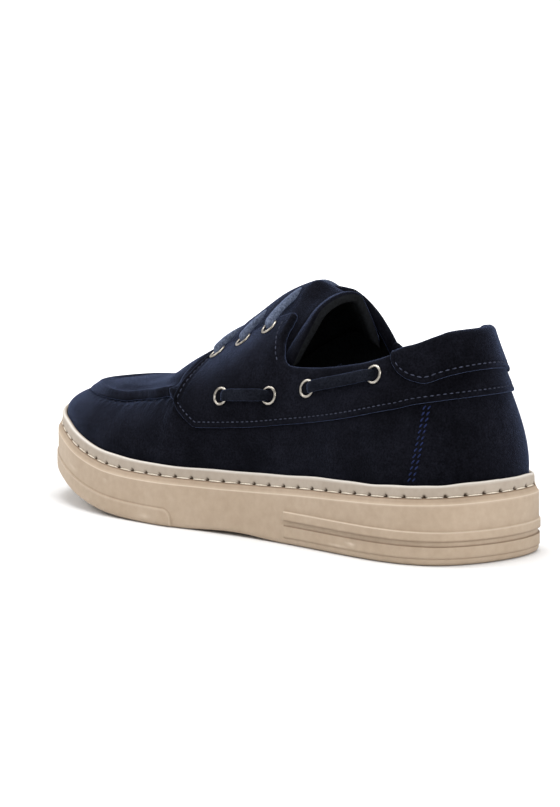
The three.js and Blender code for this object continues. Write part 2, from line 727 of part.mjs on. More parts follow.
// The heel patch over the collar band
const patch_low = curve(patch_low_edge, 'height');
function make_heel_patch() {
  const shares = stations.filter(share => share > 0 && share < 0.12);
  const turns = [
    ...shares.slice().reverse().map(share => turn_at(share, 'medial')),
    0,
    ...shares.map(share => turn_at(share, 'lateral')),
  ];
  const columns = turns.map(turn => {
    const low = up_at_height(turn, patch_low(share_of(turn)) * heel_height);
    const top = edge_up(turn);
    return [0, 0.35, 0.7, 1].map(row => [turn, low + (top - low) * row]);
  });
  return plate(columns, 2 * layer_gap + overlay, 2 * layer_gap + 2 * overlay);
}

// The tongue: two wings inside the wall and an arch across the throat
function tongue_line(share) {
  const wing = [0.62, 0.78, 0.9, 1];
  const lateral = turn_at(share, 'lateral');
  const medial = turn_at(share, 'medial');
  const left = wing.map(up => last_point(lateral, up));
  const right = wing.map(up => last_point(medial, up));
  const a = left.at(-1);
  const b = right.at(-1);
  const pull = a.distanceTo(b) * 0.3;
  const tangent = (from, to) => to.clone().sub(from).normalize();
  const rise_a = tangent(last_point(lateral, 0.97), a);
  const rise_b = tangent(last_point(medial, 0.97), b);
  const arch = new THREE.CubicBezierCurve3(a, a.clone().addScaledVector(rise_a, pull), b.clone().addScaledVector(rise_b, pull), b);
  const middle = [0.2, 0.4, 0.6, 0.8].map(t => arch.getPoint(t));
  return [...left, ...middle, ...right.reverse()];
}
function make_tongue() {
  const shares = [0.368, 0.39, 0.42, 0.46, 0.50, 0.54, 0.575, 0.597];
  const lines = shares.map(tongue_line);
  const across = lines[0].length;
  const normal = (i, j) => {
    const along = lines[Math.min(i + 1, lines.length - 1)][j].clone().sub(lines[Math.max(i - 1, 0)][j]);
    const over = lines[i][Math.min(j + 1, across - 1)].clone().sub(lines[i][Math.max(j - 1, 0)]);
    const n = over.cross(along).normalize();
    return n;
  };
  const grid = out => lines.map((line, i) => line.map((point, j) => point.clone().addScaledVector(normal(i, j), out)));
  return between(grid(-tongue_drop), grid(-tongue_drop - tongue_thickness));
}

// A flat lace along a list of points, each with its outward direction
function lace(points, outs, width, thickness) {
  const count = points.length;
  const profile = [
    [-1, 0.3], [-0.7, 0], [0.7, 0], [1, 0.3], [1, 0.7], [0.7, 1], [-0.7, 1], [-1, 0.7],
  ].map(([a, b]) => [a * width / 2, b * thickness]);
  const loops = points.map((point, i) => {
    const run = points[Math.min(i + 1, count - 1)].clone().sub(points[Math.max(i - 1, 0)]).normalize();
    const side = run.clone().cross(outs[i]).normalize();
    const up = side.clone().cross(run).normalize();
    return profile.map(([a, b]) => point.clone().addScaledVector(side, a).addScaledVector(up, b));
  });
  return through_loops(loops);
}

// Eyelets: a flange on the saddle and a short barrel through it and the wall
function eyelet_frame(side, row) {
  const turn = turn_at(row.at, side);
  const normal = wall_normal(turn, row.up);
  return { point: wall_point(turn, row.up, layer_gap + overlay), normal };
}
function set_on(geometry, { point, normal }) {
  const turn = new THREE.Quaternion().setFromUnitVectors(new THREE.Vector3(0, 1, 0), normal);
  return geometry.applyQuaternion(turn).translate(point.x, point.y, point.z);
}
function make_eyelet(frame) {
  const depth = wall + overlay + layer_gap;
  const low = eyelet_lift;
  const high = eyelet_lift + eyelet_flange;
  const profile = [
    [eyelet_hole, -depth], [eyelet_barrel, -depth], [eyelet_barrel, low], [eyelet_outer, low],
    [eyelet_outer - 0.5, high], [eyelet_hole, high], [eyelet_hole, -depth],
  ].map(([r, z]) => new THREE.Vector2(r, z));
  const ring = new THREE.LatheGeometry(profile, eyelet_sides);
  ring.deleteAttribute('normal');
  ring.deleteAttribute('uv');
  return set_on(mergeVertices(ring, 1e-3), frame);
}
function eyelet_hole_tool(frame) {
  const radius = (eyelet_barrel + gap) / Math.cos(Math.PI / eyelet_sides);
  const tool = new THREE.CylinderGeometry(radius, radius, 14, eyelet_sides);
  return set_on(tool, frame);
}

// Materials
const suede = new THREE.MeshStandardMaterial({ color: 0x1f2231, roughness: 0.95, metalness: 0 });
const suede_dark = new THREE.MeshStandardMaterial({ color: 0x191b26, roughness: 0.95, metalness: 0 });
const lining = new THREE.MeshStandardMaterial({ color: 0x0b0d12, roughness: 0.9, metalness: 0 });
const rubber = new THREE.MeshStandardMaterial({ color: 0xb8a38c, roughness: 0.6, metalness: 0 });
const strip_rubber = new THREE.MeshStandardMaterial({ color: 0xbcab9a, roughness: 0.6, metalness: 0 });
const cord = new THREE.MeshStandardMaterial({ color: 0x2b3044, roughness: 0.85, metalness: 0 });
const metal = new THREE.MeshStandardMaterial({ color: 0xc9c2ae, roughness: 0.3, metalness: 1 });

const shoe = new THREE.Group();
function add(name, geometry, material) {
  const mesh = new THREE.Mesh(geometry, material.clone());
  mesh.name = name;
  shoe.add(mesh);
}

const frames = {};
for (const side of ['lateral', 'medial']) {
  for (const row of side_eyelets) frames[`side_eyelet_${side}_${row.name}`] = eyelet_frame(side, row);
  for (const row of throat_eyelets) frames[`throat_eyelet_${side}_${row.name}`] = eyelet_frame(side, row);
}
const holes = side => Object.entries(frames).filter(([name]) => name.includes(`_${side}_`)).map(([, f]) => eyelet_hole_tool(f));

const treads = [];
for (let y = tread_heel_first; y <= tread_heel_last; y += tread_pitch) treads.push(tread_tool(y));
for (let y = tread_toe_first; y <= tread_toe_last; y += tread_pitch) treads.push(tread_tool(y));

add('outsole', cut(make_outsole(), treads), rubber);
add('rim_strip', make_rim_strip(), strip_rubber);
add('insole', make_insole(), lining);
add('upper', cut(make_upper(), [...holes('lateral'), ...holes('medial')]), suede);
add('tongue', make_tongue(), suede_dark);
add('apron', make_apron(), suede);
add('saddle_lateral', cut(make_saddle('lateral'), holes('lateral')), suede);
add('saddle_medial', cut(make_saddle('medial'), holes('medial')), suede);
add('heel_patch', make_heel_patch(), suede);
for (const [name, frame] of Object.entries(frames)) add(name, make_eyelet(frame), metal);

// Side laces between their eyelets
for (const side of ['lateral', 'medial']) {
  for (const [name, from, to] of [['front', 0, 1], ['rear', 2, 3]]) {
    const a = side_eyelets[from];
    const b = side_eyelets[to];
    const span = (a.at - b.at) * sole_length;
    const clear = (eyelet_outer + lace_clearance) / span;
    const steps = 5;
    const points = [];
    const outs = [];
    for (let i = 0; i <= steps; i++) {
      const s = clear + (1 - 2 * clear) * i / steps;
      const turn = turn_at(a.at + (b.at - a.at) * s, side);
      const here = last_point(turn_at(a.at, side), a.up).z * (1 - s) + last_point(turn_at(b.at, side), b.up).z * s;
      const up = up_at_height(turn, here);
      points.push(wall_point(turn, up, 2 * layer_gap + overlay));
      outs.push(wall_normal(turn, up));
    }
    add(`side_lace_${side}_${name}`, lace(points, outs, side_lace_width, side_lace_thickness), cord);
  }
}

// Throat laces, each a bar over the eyestays from eyelet to eyelet
for (const row of throat_eyelets) {
  const a = frames[`throat_eyelet_lateral_${row.name}`];
  const b = frames[`throat_eyelet_medial_${row.name}`];
  const start = eyelet_outer + lace_clearance / 2;
  const across = b.point.clone().sub(a.point);
  const leave = (frame, sign) => {
    const flat = across.clone().multiplyScalar(sign);
    return flat.addScaledVector(frame.normal, -flat.dot(frame.normal)).normalize();
  };
  const run_a = leave(a, 1);
  const run_b = leave(b, -1);
  const p0 = a.point.clone().addScaledVector(run_a, start).addScaledVector(a.normal, gap);
  const p3 = b.point.clone().addScaledVector(run_b, start).addScaledVector(b.normal, gap);
  const pull = p0.distanceTo(p3) * throat_lace_arch;
  const bar = new THREE.CubicBezierCurve3(p0, p0.clone().addScaledVector(run_a, pull), p3.clone().addScaledVector(run_b, pull), p3);
  const points = bar.getPoints(8);
  const outs = points.map((point, i) => a.normal.clone().multiplyScalar(1 - i / 8).addScaledVector(b.normal, i / 8).normalize());
  add(`throat_lace_${row.name}`, lace(points, outs, throat_lace_width, throat_lace_thickness), cord);
}

// The origin lies under the middle of the sole
const extent = new THREE.Box3().setFromObject(shoe);
shoe.position.set(-(extent.min.x + extent.max.x) / 2, -(extent.min.y + extent.max.y) / 2, 0);

export default shoe;
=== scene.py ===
# %% [markdown]
# A left boat shoe in dark suede on a beige rubber cup sole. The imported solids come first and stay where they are.
# Each of them is then dressed: a finer surface takes its place, worked out with numpy from the same sizes that the
# solids were made from. Sizes are kept in millimetres, as a shoemaker writes them, and turned into metres at the end.

import bmesh
import bpy
import numpy as np
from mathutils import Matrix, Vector


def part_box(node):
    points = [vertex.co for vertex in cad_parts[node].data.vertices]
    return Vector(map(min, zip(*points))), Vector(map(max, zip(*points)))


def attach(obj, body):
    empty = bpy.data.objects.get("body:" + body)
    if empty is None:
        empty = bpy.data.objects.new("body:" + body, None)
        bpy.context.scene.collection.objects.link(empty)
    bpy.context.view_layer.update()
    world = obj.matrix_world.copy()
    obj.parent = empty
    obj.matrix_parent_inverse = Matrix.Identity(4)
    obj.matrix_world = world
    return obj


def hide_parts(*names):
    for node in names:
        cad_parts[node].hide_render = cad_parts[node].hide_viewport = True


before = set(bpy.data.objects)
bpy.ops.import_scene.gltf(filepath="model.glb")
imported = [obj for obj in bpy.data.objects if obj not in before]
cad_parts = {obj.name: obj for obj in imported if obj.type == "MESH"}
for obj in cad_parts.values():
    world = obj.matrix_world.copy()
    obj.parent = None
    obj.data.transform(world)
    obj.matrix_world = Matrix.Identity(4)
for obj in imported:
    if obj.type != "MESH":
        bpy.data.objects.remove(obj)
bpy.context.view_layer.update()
MM = 0.001

# %% [markdown]
# The camera stands at the photograph's own viewpoint: 2.2 m from the shoe, 42 degrees round to its outer side behind
# the heel and 8.5 degrees up. A long lens keeps that viewpoint and fills the picture with the shoe. The camera is
# made first, so that everything after it can be looked at from the right place.

# %% The camera
image_width, image_height = 560, 807
camera_eye = Vector((-1.4544, -1.6201, 0.3659))
camera_aim = Vector((0.0012, 0.0004, 0.0560))
lens_pixels = 4640.0
sensor = 36.0
camera_data = bpy.data.cameras.new("photo_camera")
camera_data.sensor_width = sensor
camera_data.lens = lens_pixels * sensor / max(image_width, image_height)
camera_data.clip_end = 50.0
camera = bpy.data.objects.new("photo_camera", camera_data)
camera.location = camera_eye
camera.rotation_euler = (camera_aim - camera_eye).to_track_quat("-Z", "Y").to_euler()
bpy.context.scene.collection.objects.link(camera)
bpy.context.scene.camera = camera
print("lens", round(camera_data.lens, 1), "mm")

# %% [markdown]
# A shoe's sizes are known at a few places along it and flow between them. A monotone cubic curve through such a
# table is the right tool: it passes every point and never overshoots, so a heel doesn't bulge where no size says so.

# %% Smooth curves through tables
def through(places, values):
    """Monotone cubic curve: in each step the two ends' values and slopes are blended by Hermite's polynomials."""
    x, y = np.asarray(places, float), np.asarray(values, float)
    step, rate = np.diff(x), np.diff(y) / np.diff(x)
    slope = np.zeros_like(y)
    a, b = 2 * step[1:] + step[:-1], step[1:] + 2 * step[:-1]
    same = rate[:-1] * rate[1:] > 0
    slope[1:-1][same] = (a + b)[same] / (a[same] / rate[:-1][same] + b[same] / rate[1:][same])

    def end(h0, h1, r0, r1):
        """Slope at an end, from the two steps next to it, kept from overshooting."""
        s = ((2 * h0 + h1) * r0 - h0 * r1) / (h0 + h1)
        if s * r0 <= 0:
            return 0.0
        return 3 * r0 if r0 * r1 <= 0 and abs(s) > abs(3 * r0) else s

    if len(x) > 2:
        slope[0] = end(step[0], step[1], rate[0], rate[1])
        slope[-1] = end(step[-1], step[-2], rate[-1], rate[-2])
    else:
        slope[:] = rate[0]

    def at(place):
        """The curve's value at any place, held at both ends."""
        here = np.clip(place, x[0], x[-1])
        i = np.clip(np.searchsorted(x, here, side="left") - 1, 0, len(x) - 2)
        s = (here - x[i]) / step[i]
        whole = y[i] * (1 + 2 * s) * (1 - s) ** 2 + y[i + 1] * s * s * (3 - 2 * s)
        return whole + step[i] * (slope[i] * s * (1 - s) ** 2 + slope[i + 1] * s * s * (s - 1))

    return at


def smooth(low, high, value):
    """Smoothstep: 0 below low, 1 above high, and 3t^2 - 2t^3 between them."""
    t = np.clip((value - low) / (high - low), 0, 1)
    return t * t * (3 - 2 * t)


def bump(value, width):
    """Bell curve exp(-(value / width)^2)."""
    return np.exp(-(value / width) ** 2)


print("a table from 0 to 10, read half way:", float(through([0, 1], [0, 10])(0.5)))

# %% [markdown]
# Three more helpers come back all the time: a direction of length 1, the length run along a line of points, as a
# tape measures a seam, and the points that lie at given lengths along it.

# %% Directions and runs
def unit(v):
    """Each vector over its own length."""
    return v / np.linalg.norm(v, axis=-1, keepdims=True)


def run_along(points, axis):
    """Length run along a grid's lines from their first point: the sum of the steps' lengths."""
    steps = np.linalg.norm(np.diff(points, axis=axis), axis=-1)
    start = np.zeros_like(np.take(steps, [0], axis=axis))
    return np.concatenate([start, np.cumsum(steps, axis=axis)], axis=axis)


def points_at(at, run, points):
    """Points at lengths along a line, straight between the line's own points."""
    return np.stack([np.interp(at, run, points[:, k]) for k in range(3)], -1)


# %% [markdown]
# Everything on the shoe is placed by two numbers. The turn says where one is round the shoe: 0 at the back of the
# heel, 1 at the tip of the toe after walking along the outer side, 2 at the heel again along the inner side. The
# share of the length belongs to each turn, close together at heel and toe, where a shoe curves most.

# %% Stations round the shoe
sole_length, ball_width = 300.0, 106.0


def fold(turn):
    """Turn on its own side: 1 - |1 - turn|, the same number on the outer and the inner side."""
    return 1 - np.abs(1 - np.mod(turn, 2))


def is_medial(turn):
    """True on the inner side."""
    return np.mod(turn, 2) > 1


def share_of(turn):
    """Share of the length, half of 1 - cos(pi turn)."""
    return (1 - np.cos(np.pi * np.asarray(turn, float))) / 2


def turn_of(share, medial=False):
    """The other way round: turn = arccos(1 - 2 share) / pi, counted back from 2 on the inner side."""
    turn = np.arccos(1 - 2 * np.asarray(share, float)) / np.pi
    return 2 - turn if medial else turn


print("turn at a quarter of the length:", turn_of(0.25).round(3), "outside,", turn_of(0.25, True).round(3), "inside")

# %% [markdown]
# The cup sole's outline is asymmetric: full over the little toe, hollow at the inner waist. The rim rises to the heel
# and to the toe, and the forefoot lifts off the floor in the toe spring.

# %% Outline, rim and floor of the sole
sole_outline = np.array([
    [0.00, 0.000, 0.000], [0.01, 0.188, 0.190], [0.03, 0.297, 0.299], [0.06, 0.362, 0.359], [0.10, 0.402, 0.395],
    [0.15, 0.420, 0.407], [0.20, 0.422, 0.403], [0.30, 0.417, 0.380], [0.40, 0.428, 0.368], [0.50, 0.464, 0.370],
    [0.60, 0.510, 0.406], [0.70, 0.516, 0.458], [0.80, 0.472, 0.481], [0.88, 0.386, 0.452], [0.94, 0.271, 0.374],
    [0.98, 0.116, 0.253], [1.00, -0.066, 0.066]])
half_lateral = through(turn_of(sole_outline[:, 0]), sole_outline[:, 1])
half_medial = through(turn_of(sole_outline[:, 0]), sole_outline[:, 2])
toe_spring = 16.5
spring_share = through([0, 0.6, 0.66, 0.72, 0.78, 0.84, 0.90, 0.95, 1],
                       [0, 0, 0.017, 0.09, 0.24, 0.48, 0.75, 0.91, 1])
rim_curve = through([0, 0.25, 0.5, 1], [36.8, 33.15, 29.5, 28])
heel_floor, toe_floor, floor_level_from = 22.0, 15.0, 0.5
probe = 0.002


def spring(share):
    """Height of the tread over the floor."""
    return toe_spring * spring_share(share)


def rim(share):
    """Height of the cup's rim, which rises with the toe spring."""
    return rim_curve(share) + spring(share)


def cup_floor(share):
    """Height inside the cup: straight down from heel to waist, then level with the tread."""
    return heel_floor + (toe_floor - heel_floor) * np.minimum(share / floor_level_from, 1) + spring(share)


def outline(turn):
    """Point of the outline: minus the outer half width or plus the inner one across, share times length along."""
    side, share = fold(turn), share_of(turn)
    across = np.where(is_medial(turn), half_medial(side), -half_lateral(side)) * ball_width
    return np.stack([across, share * sole_length], -1)


def outward(turn):
    """Unit normal of the outline: the run between two near points, turned a quarter left."""
    run = unit(outline(turn + probe) - outline(turn - probe))
    return np.stack([-run[..., 1], run[..., 0]], -1)


def sole_place(turn, out, height):
    """Point at a distance out from the outline and at a height."""
    turn, out, height = np.broadcast_arrays(np.asarray(turn, float), out, height)
    flat = outline(turn) + outward(turn) * out[..., None]
    return np.concatenate([flat, height[..., None]], -1)


edge = outline(np.linspace(0, 2, 2001))
low_corner, high_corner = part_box("outsole")
middle_along = 149.95
middle = np.array([(edge[:, 0].min() + edge[:, 0].max()) / 2, middle_along, 0.0])
print("outline is", np.ptp(edge[:, 0]).round(2), "wide; CAD sole", round((high_corner.x - low_corner.x) / MM, 2))

# %% [markdown]
# The upper is shaped by the last, the wooden foot inside it. Each section of its wall is one cubic curve from the
# sole's rim to the top: low down it bulges over the rim, higher up it leans in over the foot. The tables give the
# top's height and reach, the lean, and how full the curve is at both ends.

# %% The last
upper_inset = 4.7
instep_height, throat_height, throat_front = 114.0, 80.8, 0.605
heel_height, collar_low = 102.4, 82.0
spine_x = through([0, 0.2, 0.4, 0.6, 0.75, 0.9, 1], [0, 0.005, 0.019, 0.014, 0.014, 0.057, 0.066])
ridge_rise = through([0.605, 0.63, 0.66, 0.70, 0.74, 0.78, 0.82, 0.86, 0.90],
                     [1, 0.934, 0.822, 0.70, 0.61, 0.533, 0.446, 0.335, 0.218])
last_top = np.array([  # share, outer rise, outer reach, inner rise, inner reach
    [0.00, 0.754, 0.318, 0.754, 0.318], [0.03, 0.754, 0.345, 0.754, 0.385], [0.06, 0.754, 0.362, 0.754, 0.420],
    [0.12, 0.754, 0.365, 0.754, 0.410], [0.20, 0.754, 0.360, 0.769, 0.390], [0.30, 0.754, 0.405, 0.810, 0.405],
    [0.36, 0.738, 0.495, 0.905, 0.475], [0.395, 0.700, 0.600, 0.935, 0.555], [0.43, 0.625, 0.635, 0.955, 0.585],
    [0.50, 0.330, 0.645, 0.650, 0.610], [0.56, 0.080, 0.650, 0.270, 0.630], [0.585, 0.0, 0.720, 0.125, 0.710],
    [0.60, -0.005, 0.870, 0.030, 0.870], [0.605, 0.0, 1.0, 0.0, 1.0]])
top_rise = [through(last_top[:, 0], last_top[:, k]) for k in (1, 3)]
top_reach = [through(last_top[:, 0], last_top[:, k]) for k in (2, 4)]
wall_shape = np.array([  # share, low fullness, high fullness, lean in degrees, bulge in mm
    [0.00, 0.35, 0.35, 74, 1], [0.10, 0.35, 0.35, 74, 1], [0.20, 0.36, 0.35, 75, 1], [0.30, 0.42, 0.38, 70, 1],
    [0.36, 0.52, 0.42, 58, 1.2], [0.41, 0.60, 0.45, 42, 1.5], [0.50, 0.60, 0.50, 34, 1.5],
    [0.56, 0.60, 0.50, 32, 1.5], [0.585, 0.59, 0.52, 24, 1.5], [0.605, 0.58, 0.55, 0, 1.5],
    [0.70, 0.56, 0.56, 0, 1.5], [0.85, 0.55, 0.55, 0, 0.5], [1.00, 0.50, 0.50, 0, -1]])
shape_low, shape_high, shape_lean, shape_bulge = [through(wall_shape[:, 0], wall_shape[:, k]) for k in (1, 2, 3, 4)]
heel_fan, toe_fan, toe_pull = 0.20, 0.74, 0.45


def by_side(curves, turn, share):
    """The first curve on the outer side, the second on the inner one."""
    return np.where(is_medial(turn), curves[1](share), curves[0](share))


def spine_share(share):
    """The spine point that a station looks at: fanned out at heel and toe."""
    ahead = np.where(share > toe_fan, toe_fan + (share - toe_fan) * toe_pull, share)
    return np.where(share < heel_fan, heel_fan, ahead)


def top_height(turn):
    """Height where the section ends: on the collar and throat by last_top, in front of them along the ridge."""
    share = share_of(turn)
    along = spine_share(share)
    behind = throat_height + (instep_height - throat_height) * by_side(top_rise, turn, share)
    ahead = rim(along) + (throat_height - rim(throat_front)) * ridge_rise(along)
    return np.where(share < throat_front, behind, ahead)


def section(turn):
    """The section's cubic curve: its foot, the ways out and in, and how far in and up its high and top corners lie."""
    share = share_of(turn)
    out = outward(turn)
    foot = outline(turn) - out * upper_inset
    foot_z = rim(share)
    along = spine_share(share)
    inward = np.stack([spine_x(along) * ball_width, along * sole_length], -1) - foot
    distance = np.linalg.norm(inward, axis=-1)
    inward = inward / distance[..., None]
    width = distance * np.where(share < throat_front, by_side(top_reach, turn, share), 1)
    top_z = top_height(turn)
    rise = top_z - foot_z
    lean = np.radians(shape_lean(share))
    hold = shape_high(share) * (width * np.cos(lean) + rise * np.sin(lean))
    return foot, out, inward, foot_z, rise, width, width - hold * np.cos(lean), top_z, top_z - hold * np.sin(lean)


def evened(curve):
    """Difference between a curve along the shares and its mean over 3% on both sides, from 0.54 to 0.68 alone."""
    even = np.convolve(np.pad(curve, 15, mode="edge"), np.hanning(33)[1:-1] / np.hanning(33).sum(), mode="valid")
    return (even - curve) * smooth(0.53, 0.56, even_shares) * (1 - smooth(0.66, 0.70, even_shares))


even_shares = np.linspace(0, 1, 501)
evened_in, evened_up = [], []
for medial in (False, True):
    parts = section(turn_of(even_shares, medial))
    evened_in.append(evened(parts[6]))
    evened_up.append(evened(parts[8]))


def evening(tables, turn, share):
    """The evened difference of the turn's side at a share."""
    outer_side, inner_side = [np.interp(share, even_shares, table) for table in tables]
    return np.where(is_medial(turn), inner_side, outer_side)


def is_closed(turn):
    """True from the throat's front end on, where both sides meet on the ridge."""
    return share_of(turn) >= throat_front - 1e-6


def last_point(turn, up):
    """Bezier section at a turn: (1-u)^3 foot + 3u(1-u)^2 low + 3u^2(1-u) high + u^3 top. Low on the wall the high
    corner is evened along the shoe, so the closing of the throat leaves no crease in the vamp."""
    turn, up = np.broadcast_arrays(np.asarray(turn, float), np.asarray(up, float))
    share = share_of(turn)
    foot, out, inward, foot_z, rise, width, high_in, top_z, high_z = section(turn)
    low_part = 1 - smooth(0.40, 0.80, up)
    high_in = high_in + low_part * evening(evened_in, turn, share)
    high_z = high_z + low_part * evening(evened_up, turn, share)
    c0, c1, c2, c3 = (1 - up) ** 3, 3 * up * (1 - up) ** 2, 3 * up * up * (1 - up), up ** 3
    inner = c2 * high_in + c3 * width
    flat = foot + out * (c1 * shape_bulge(share))[..., None] + inward * inner[..., None]
    z = (c0 + c1) * foot_z + c1 * shape_low(share) * rise + c2 * high_z + c3 * top_z
    return np.concatenate([flat, z[..., None]], -1)


def raw_normal(turn, up):
    """Cross product of the way up the wall and the way along it."""
    level = np.minimum(up, 0.97)
    along = last_point(turn + probe, level) - last_point(turn - probe, level)
    upward = last_point(turn, np.minimum(up + probe, 1)) - last_point(turn, np.maximum(up - probe, 0))
    return unit(np.cross(upward, along))


def last_normal(turn, up):
    """Outward normal; along the closed ridge of the forefoot both sides share their mean."""
    turn, up = np.broadcast_arrays(np.asarray(turn, float), np.asarray(up, float))
    normal = raw_normal(turn, up)
    shared = unit(normal + raw_normal(2 - turn, up))
    # from the closed ridge on, the shared normal fades in over the last part of the wall
    closed = smooth(0.9, 0.999, up) * is_closed(turn)
    return unit(normal * (1 - closed[..., None]) + shared * closed[..., None])


def up_at_height(turn, height):
    """Share up the wall where it reaches a height, by halving the interval 24 times."""
    low, high = np.zeros_like(turn, float), np.ones_like(turn, float)
    for _ in range(24):
        centre = (low + high) / 2
        under = last_point(turn, centre)[..., 2] < height
        low, high = np.where(under, centre, low), np.where(under, high, centre)
    return (low + high) / 2


sample = last_point(np.array([0.0, 0.5, 1.0]), 0.5)
print("half way up the wall at heel, outer waist and toe:", (sample - middle).round(1).tolist())

# %% [markdown]
# The collar falls from the heel to a low point and climbs the eyestay's rear edge. A pair of shares says how much of
# the heel's height and how much of the stay's height each station has.

# %% The collar's edge
collar_edge = np.array([  # share, outer heel, outer stay, inner heel, inner stay
    [0.000, 1.000, 0, 1.000, 0], [0.0075, 0.975, 0, 0.998, 0], [0.018, 0.900, 0, 0.992, 0],
    [0.035, 0.815, 0, 0.973, 0], [0.060, 0.715, 0, 0.910, 0], [0.090, 0.630, 0, 0.776, 0],
    [0.120, 0.515, 0, 0.651, 0], [0.155, 0.385, 0, 0.521, 0], [0.215, 0.200, 0, 0.316, 0],
    [0.270, 0.055, 0, 0.170, 0], [0.315, -0.030, 0, 0.003, 0.059], [0.345, -0.055, 0, 0, 0.190],
    [0.358, -0.055, 0.008, 0, 0.440], [0.370, -0.050, 0.070, 0, 0.690], [0.380, -0.040, 0.190, 0, 0.852],
    [0.389, -0.030, 0.370, 0, 0.953], [0.398, -0.020, 0.560, 0, 1], [0.405, -0.010, 0.760, 0, 1],
    [0.410, 0, 1, 0, 1]])
collar_heel = [through(collar_edge[:, 0], collar_edge[:, k]) for k in (1, 3)]
collar_stay = [through(collar_edge[:, 0], collar_edge[:, k]) for k in (2, 4)]
wall_run, fold_room, steepest = 78.0, 2.0, 5
fold_fades_from, fold_fades_to = 0.592, 0.604


def edge_line(turn):
    """Share up the wall of the finished collar's edge; 1 along throat and ridge."""
    turn = np.asarray(turn, float)
    share = share_of(turn)
    height = (collar_low + (heel_height - collar_low) * by_side(collar_heel, turn, share)
              + (top_height(turn) - collar_low) * by_side(collar_stay, turn, share))
    return np.where(share >= collar_edge[-1, 0], 1.0, up_at_height(turn, height))


def edge_up(turn):
    """The wall itself ends 2 mm inside that edge, measured square to it, and leaves room for the fold."""
    turn = np.asarray(turn, float)
    ahead, behind = turn + probe, turn - probe
    run = np.linalg.norm(outline(ahead) - outline(behind), axis=-1)
    slope = (edge_line(ahead) - edge_line(behind)) * wall_run / run
    room = fold_room * np.sqrt(1 + np.minimum(slope ** 2, steepest)) / wall_run
    return edge_line(turn) - room * (1 - smooth(fold_fades_from, fold_fades_to, share_of(turn)))


corner_start = 0.53
saddle_rise = through([0, 0.03, 0.065, 0.105, 0.13, 0.195, 0.25, 0.305, 0.355, 0.41, 0.46, 0.53],
                      [0.366, 0.357, 0.346, 0.326, 0.316, 0.285, 0.258, 0.238, 0.223, 0.206, 0.195, 0.180])
corner_up = through([corner_start, 0.5575, 0.5718, 0.5855], [0.205, 0.292, 0.345, 0.397])
apron_up = through([0.56, 0.589, 0.61, 0.635, 0.66, 0.68, 0.72, 0.80, 0.86, 0.92, 1],
                   [0.44, 0.425, 0.42, 0.43, 0.458, 0.485, 0.512, 0.502, 0.507, 0.528, 0.56])


def saddle_low(turn):
    """The saddle's lower edge: a height over the rim along the band, a share up the wall round its front corner."""
    share = share_of(turn)
    band = up_at_height(turn, rim(share) + saddle_rise(share) * heel_height)
    return np.where(share > corner_start, corner_up(share), band)


sample = np.array([0.0, 0.4])
print("collar's edge at heel and waist:", last_point(sample, edge_line(sample))[:, 2].round(1), "mm up")

# %% [markdown]
# New leather is never quite smooth. A few soft hollows and swellings are listed, each with its place on the wall, its
# size in millimetres, its slant and its height, and every layer of the upper follows them.

# %% Soft hollows and swellings
soft_forms = np.array([  # side, share, up, length, width, slant in degrees, height
    [0, 0.700, 0.30, 26, 7, 12, -0.35], [0, 0.640, 0.22, 22, 6, -8, 0.30], [0, 0.560, 0.16, 24, 5, 4, -0.35],
    [0, 0.450, 0.14, 30, 6, -4, 0.35], [0, 0.300, 0.24, 16, 9, 70, -0.45], [0, 0.240, 0.20, 16, 8, 80, 0.35],
    [0, 0.180, 0.26, 18, 8, 65, -0.35], [0, 0.430, 0.62, 18, 7, 60, -0.40], [0, 0.540, 0.62, 16, 6, 60, -0.35],
    [0, 0.250, 0.62, 22, 4, 5, -0.35], [0, 0.350, 0.55, 14, 5, 75, -0.40], [0, 0.820, 0.36, 22, 8, 15, 0.30],
    [1, 0.700, 0.30, 24, 7, 10, -0.35], [1, 0.560, 0.18, 24, 6, -5, 0.35], [1, 0.400, 0.22, 22, 8, 60, -0.45],
    [1, 0.300, 0.30, 18, 8, 75, 0.35], [1, 0.180, 0.28, 20, 8, 65, -0.35], [1, 0.480, 0.60, 18, 7, 55, -0.40],
    [1, 0.230, 0.66, 22, 5, 0, -0.35], [1, 0.840, 0.36, 22, 8, 15, 0.30]])


def softness(turn, up):
    """Sum of bells: height exp(-(along/length)^2 - (across/width)^2), turned by each form's slant."""
    total = np.zeros(np.broadcast(turn, up).shape)
    share, medial = share_of(turn), is_medial(turn)
    for side, at, level, length, width, slant, height in soft_forms:
        a, b = (share - at) * sole_length, (up - level) * wall_run
        c, s = np.cos(np.radians(slant)), np.sin(np.radians(slant))
        total = total + (medial == side) * height * bump(a * c + b * s, length) * bump(b * c - a * s, width)
    return total


pucker_pitch, pucker_height, pucker_reach = 5.2, 0.28, 8.0
gather_dip, gather_at, gather_width, gather_span = 0.9, 0.6, 2.2, 330


def seam_gather(turn, up):
    """Beside the moccasin seam the wall dips 0.9 mm and puckers: a sine along the seam that fades down the wall."""
    share = share_of(turn)
    below = (apron_up(share) - up) * wall_run
    run = np.where(is_medial(turn), -1, 1) * turn_of(share) * gather_span
    forward = smooth(0.57, 0.62, share)
    dip = -gather_dip * bump(below - gather_at, gather_width)
    folds = pucker_height * np.sin(2 * np.pi * run / pucker_pitch + 0.8 * np.sin(run / 9))
    return forward * (dip + folds * bump(below - 2.5, pucker_reach * 0.6) * (below > -1))


def wall_out(turn, up, out, gather=0.0):
    """The last's wall moved out along its normal by a layer's distance and the soft forms."""
    turn, up = np.broadcast_arrays(np.asarray(turn, float), np.asarray(up, float))
    lift = out + softness(turn, up) + gather * seam_gather(turn, up)
    return last_point(turn, up) + last_normal(turn, up) * lift[..., None]


print(len(soft_forms), "soft forms, up to", np.abs(soft_forms[:, 6]).max(), "mm high")

# %% [markdown]
# A grid of points becomes a mesh in one step. Seams of the grid are welded, so poles and the meeting of both sides
# are closed, and on a closed skin the normals are then turned outwards.

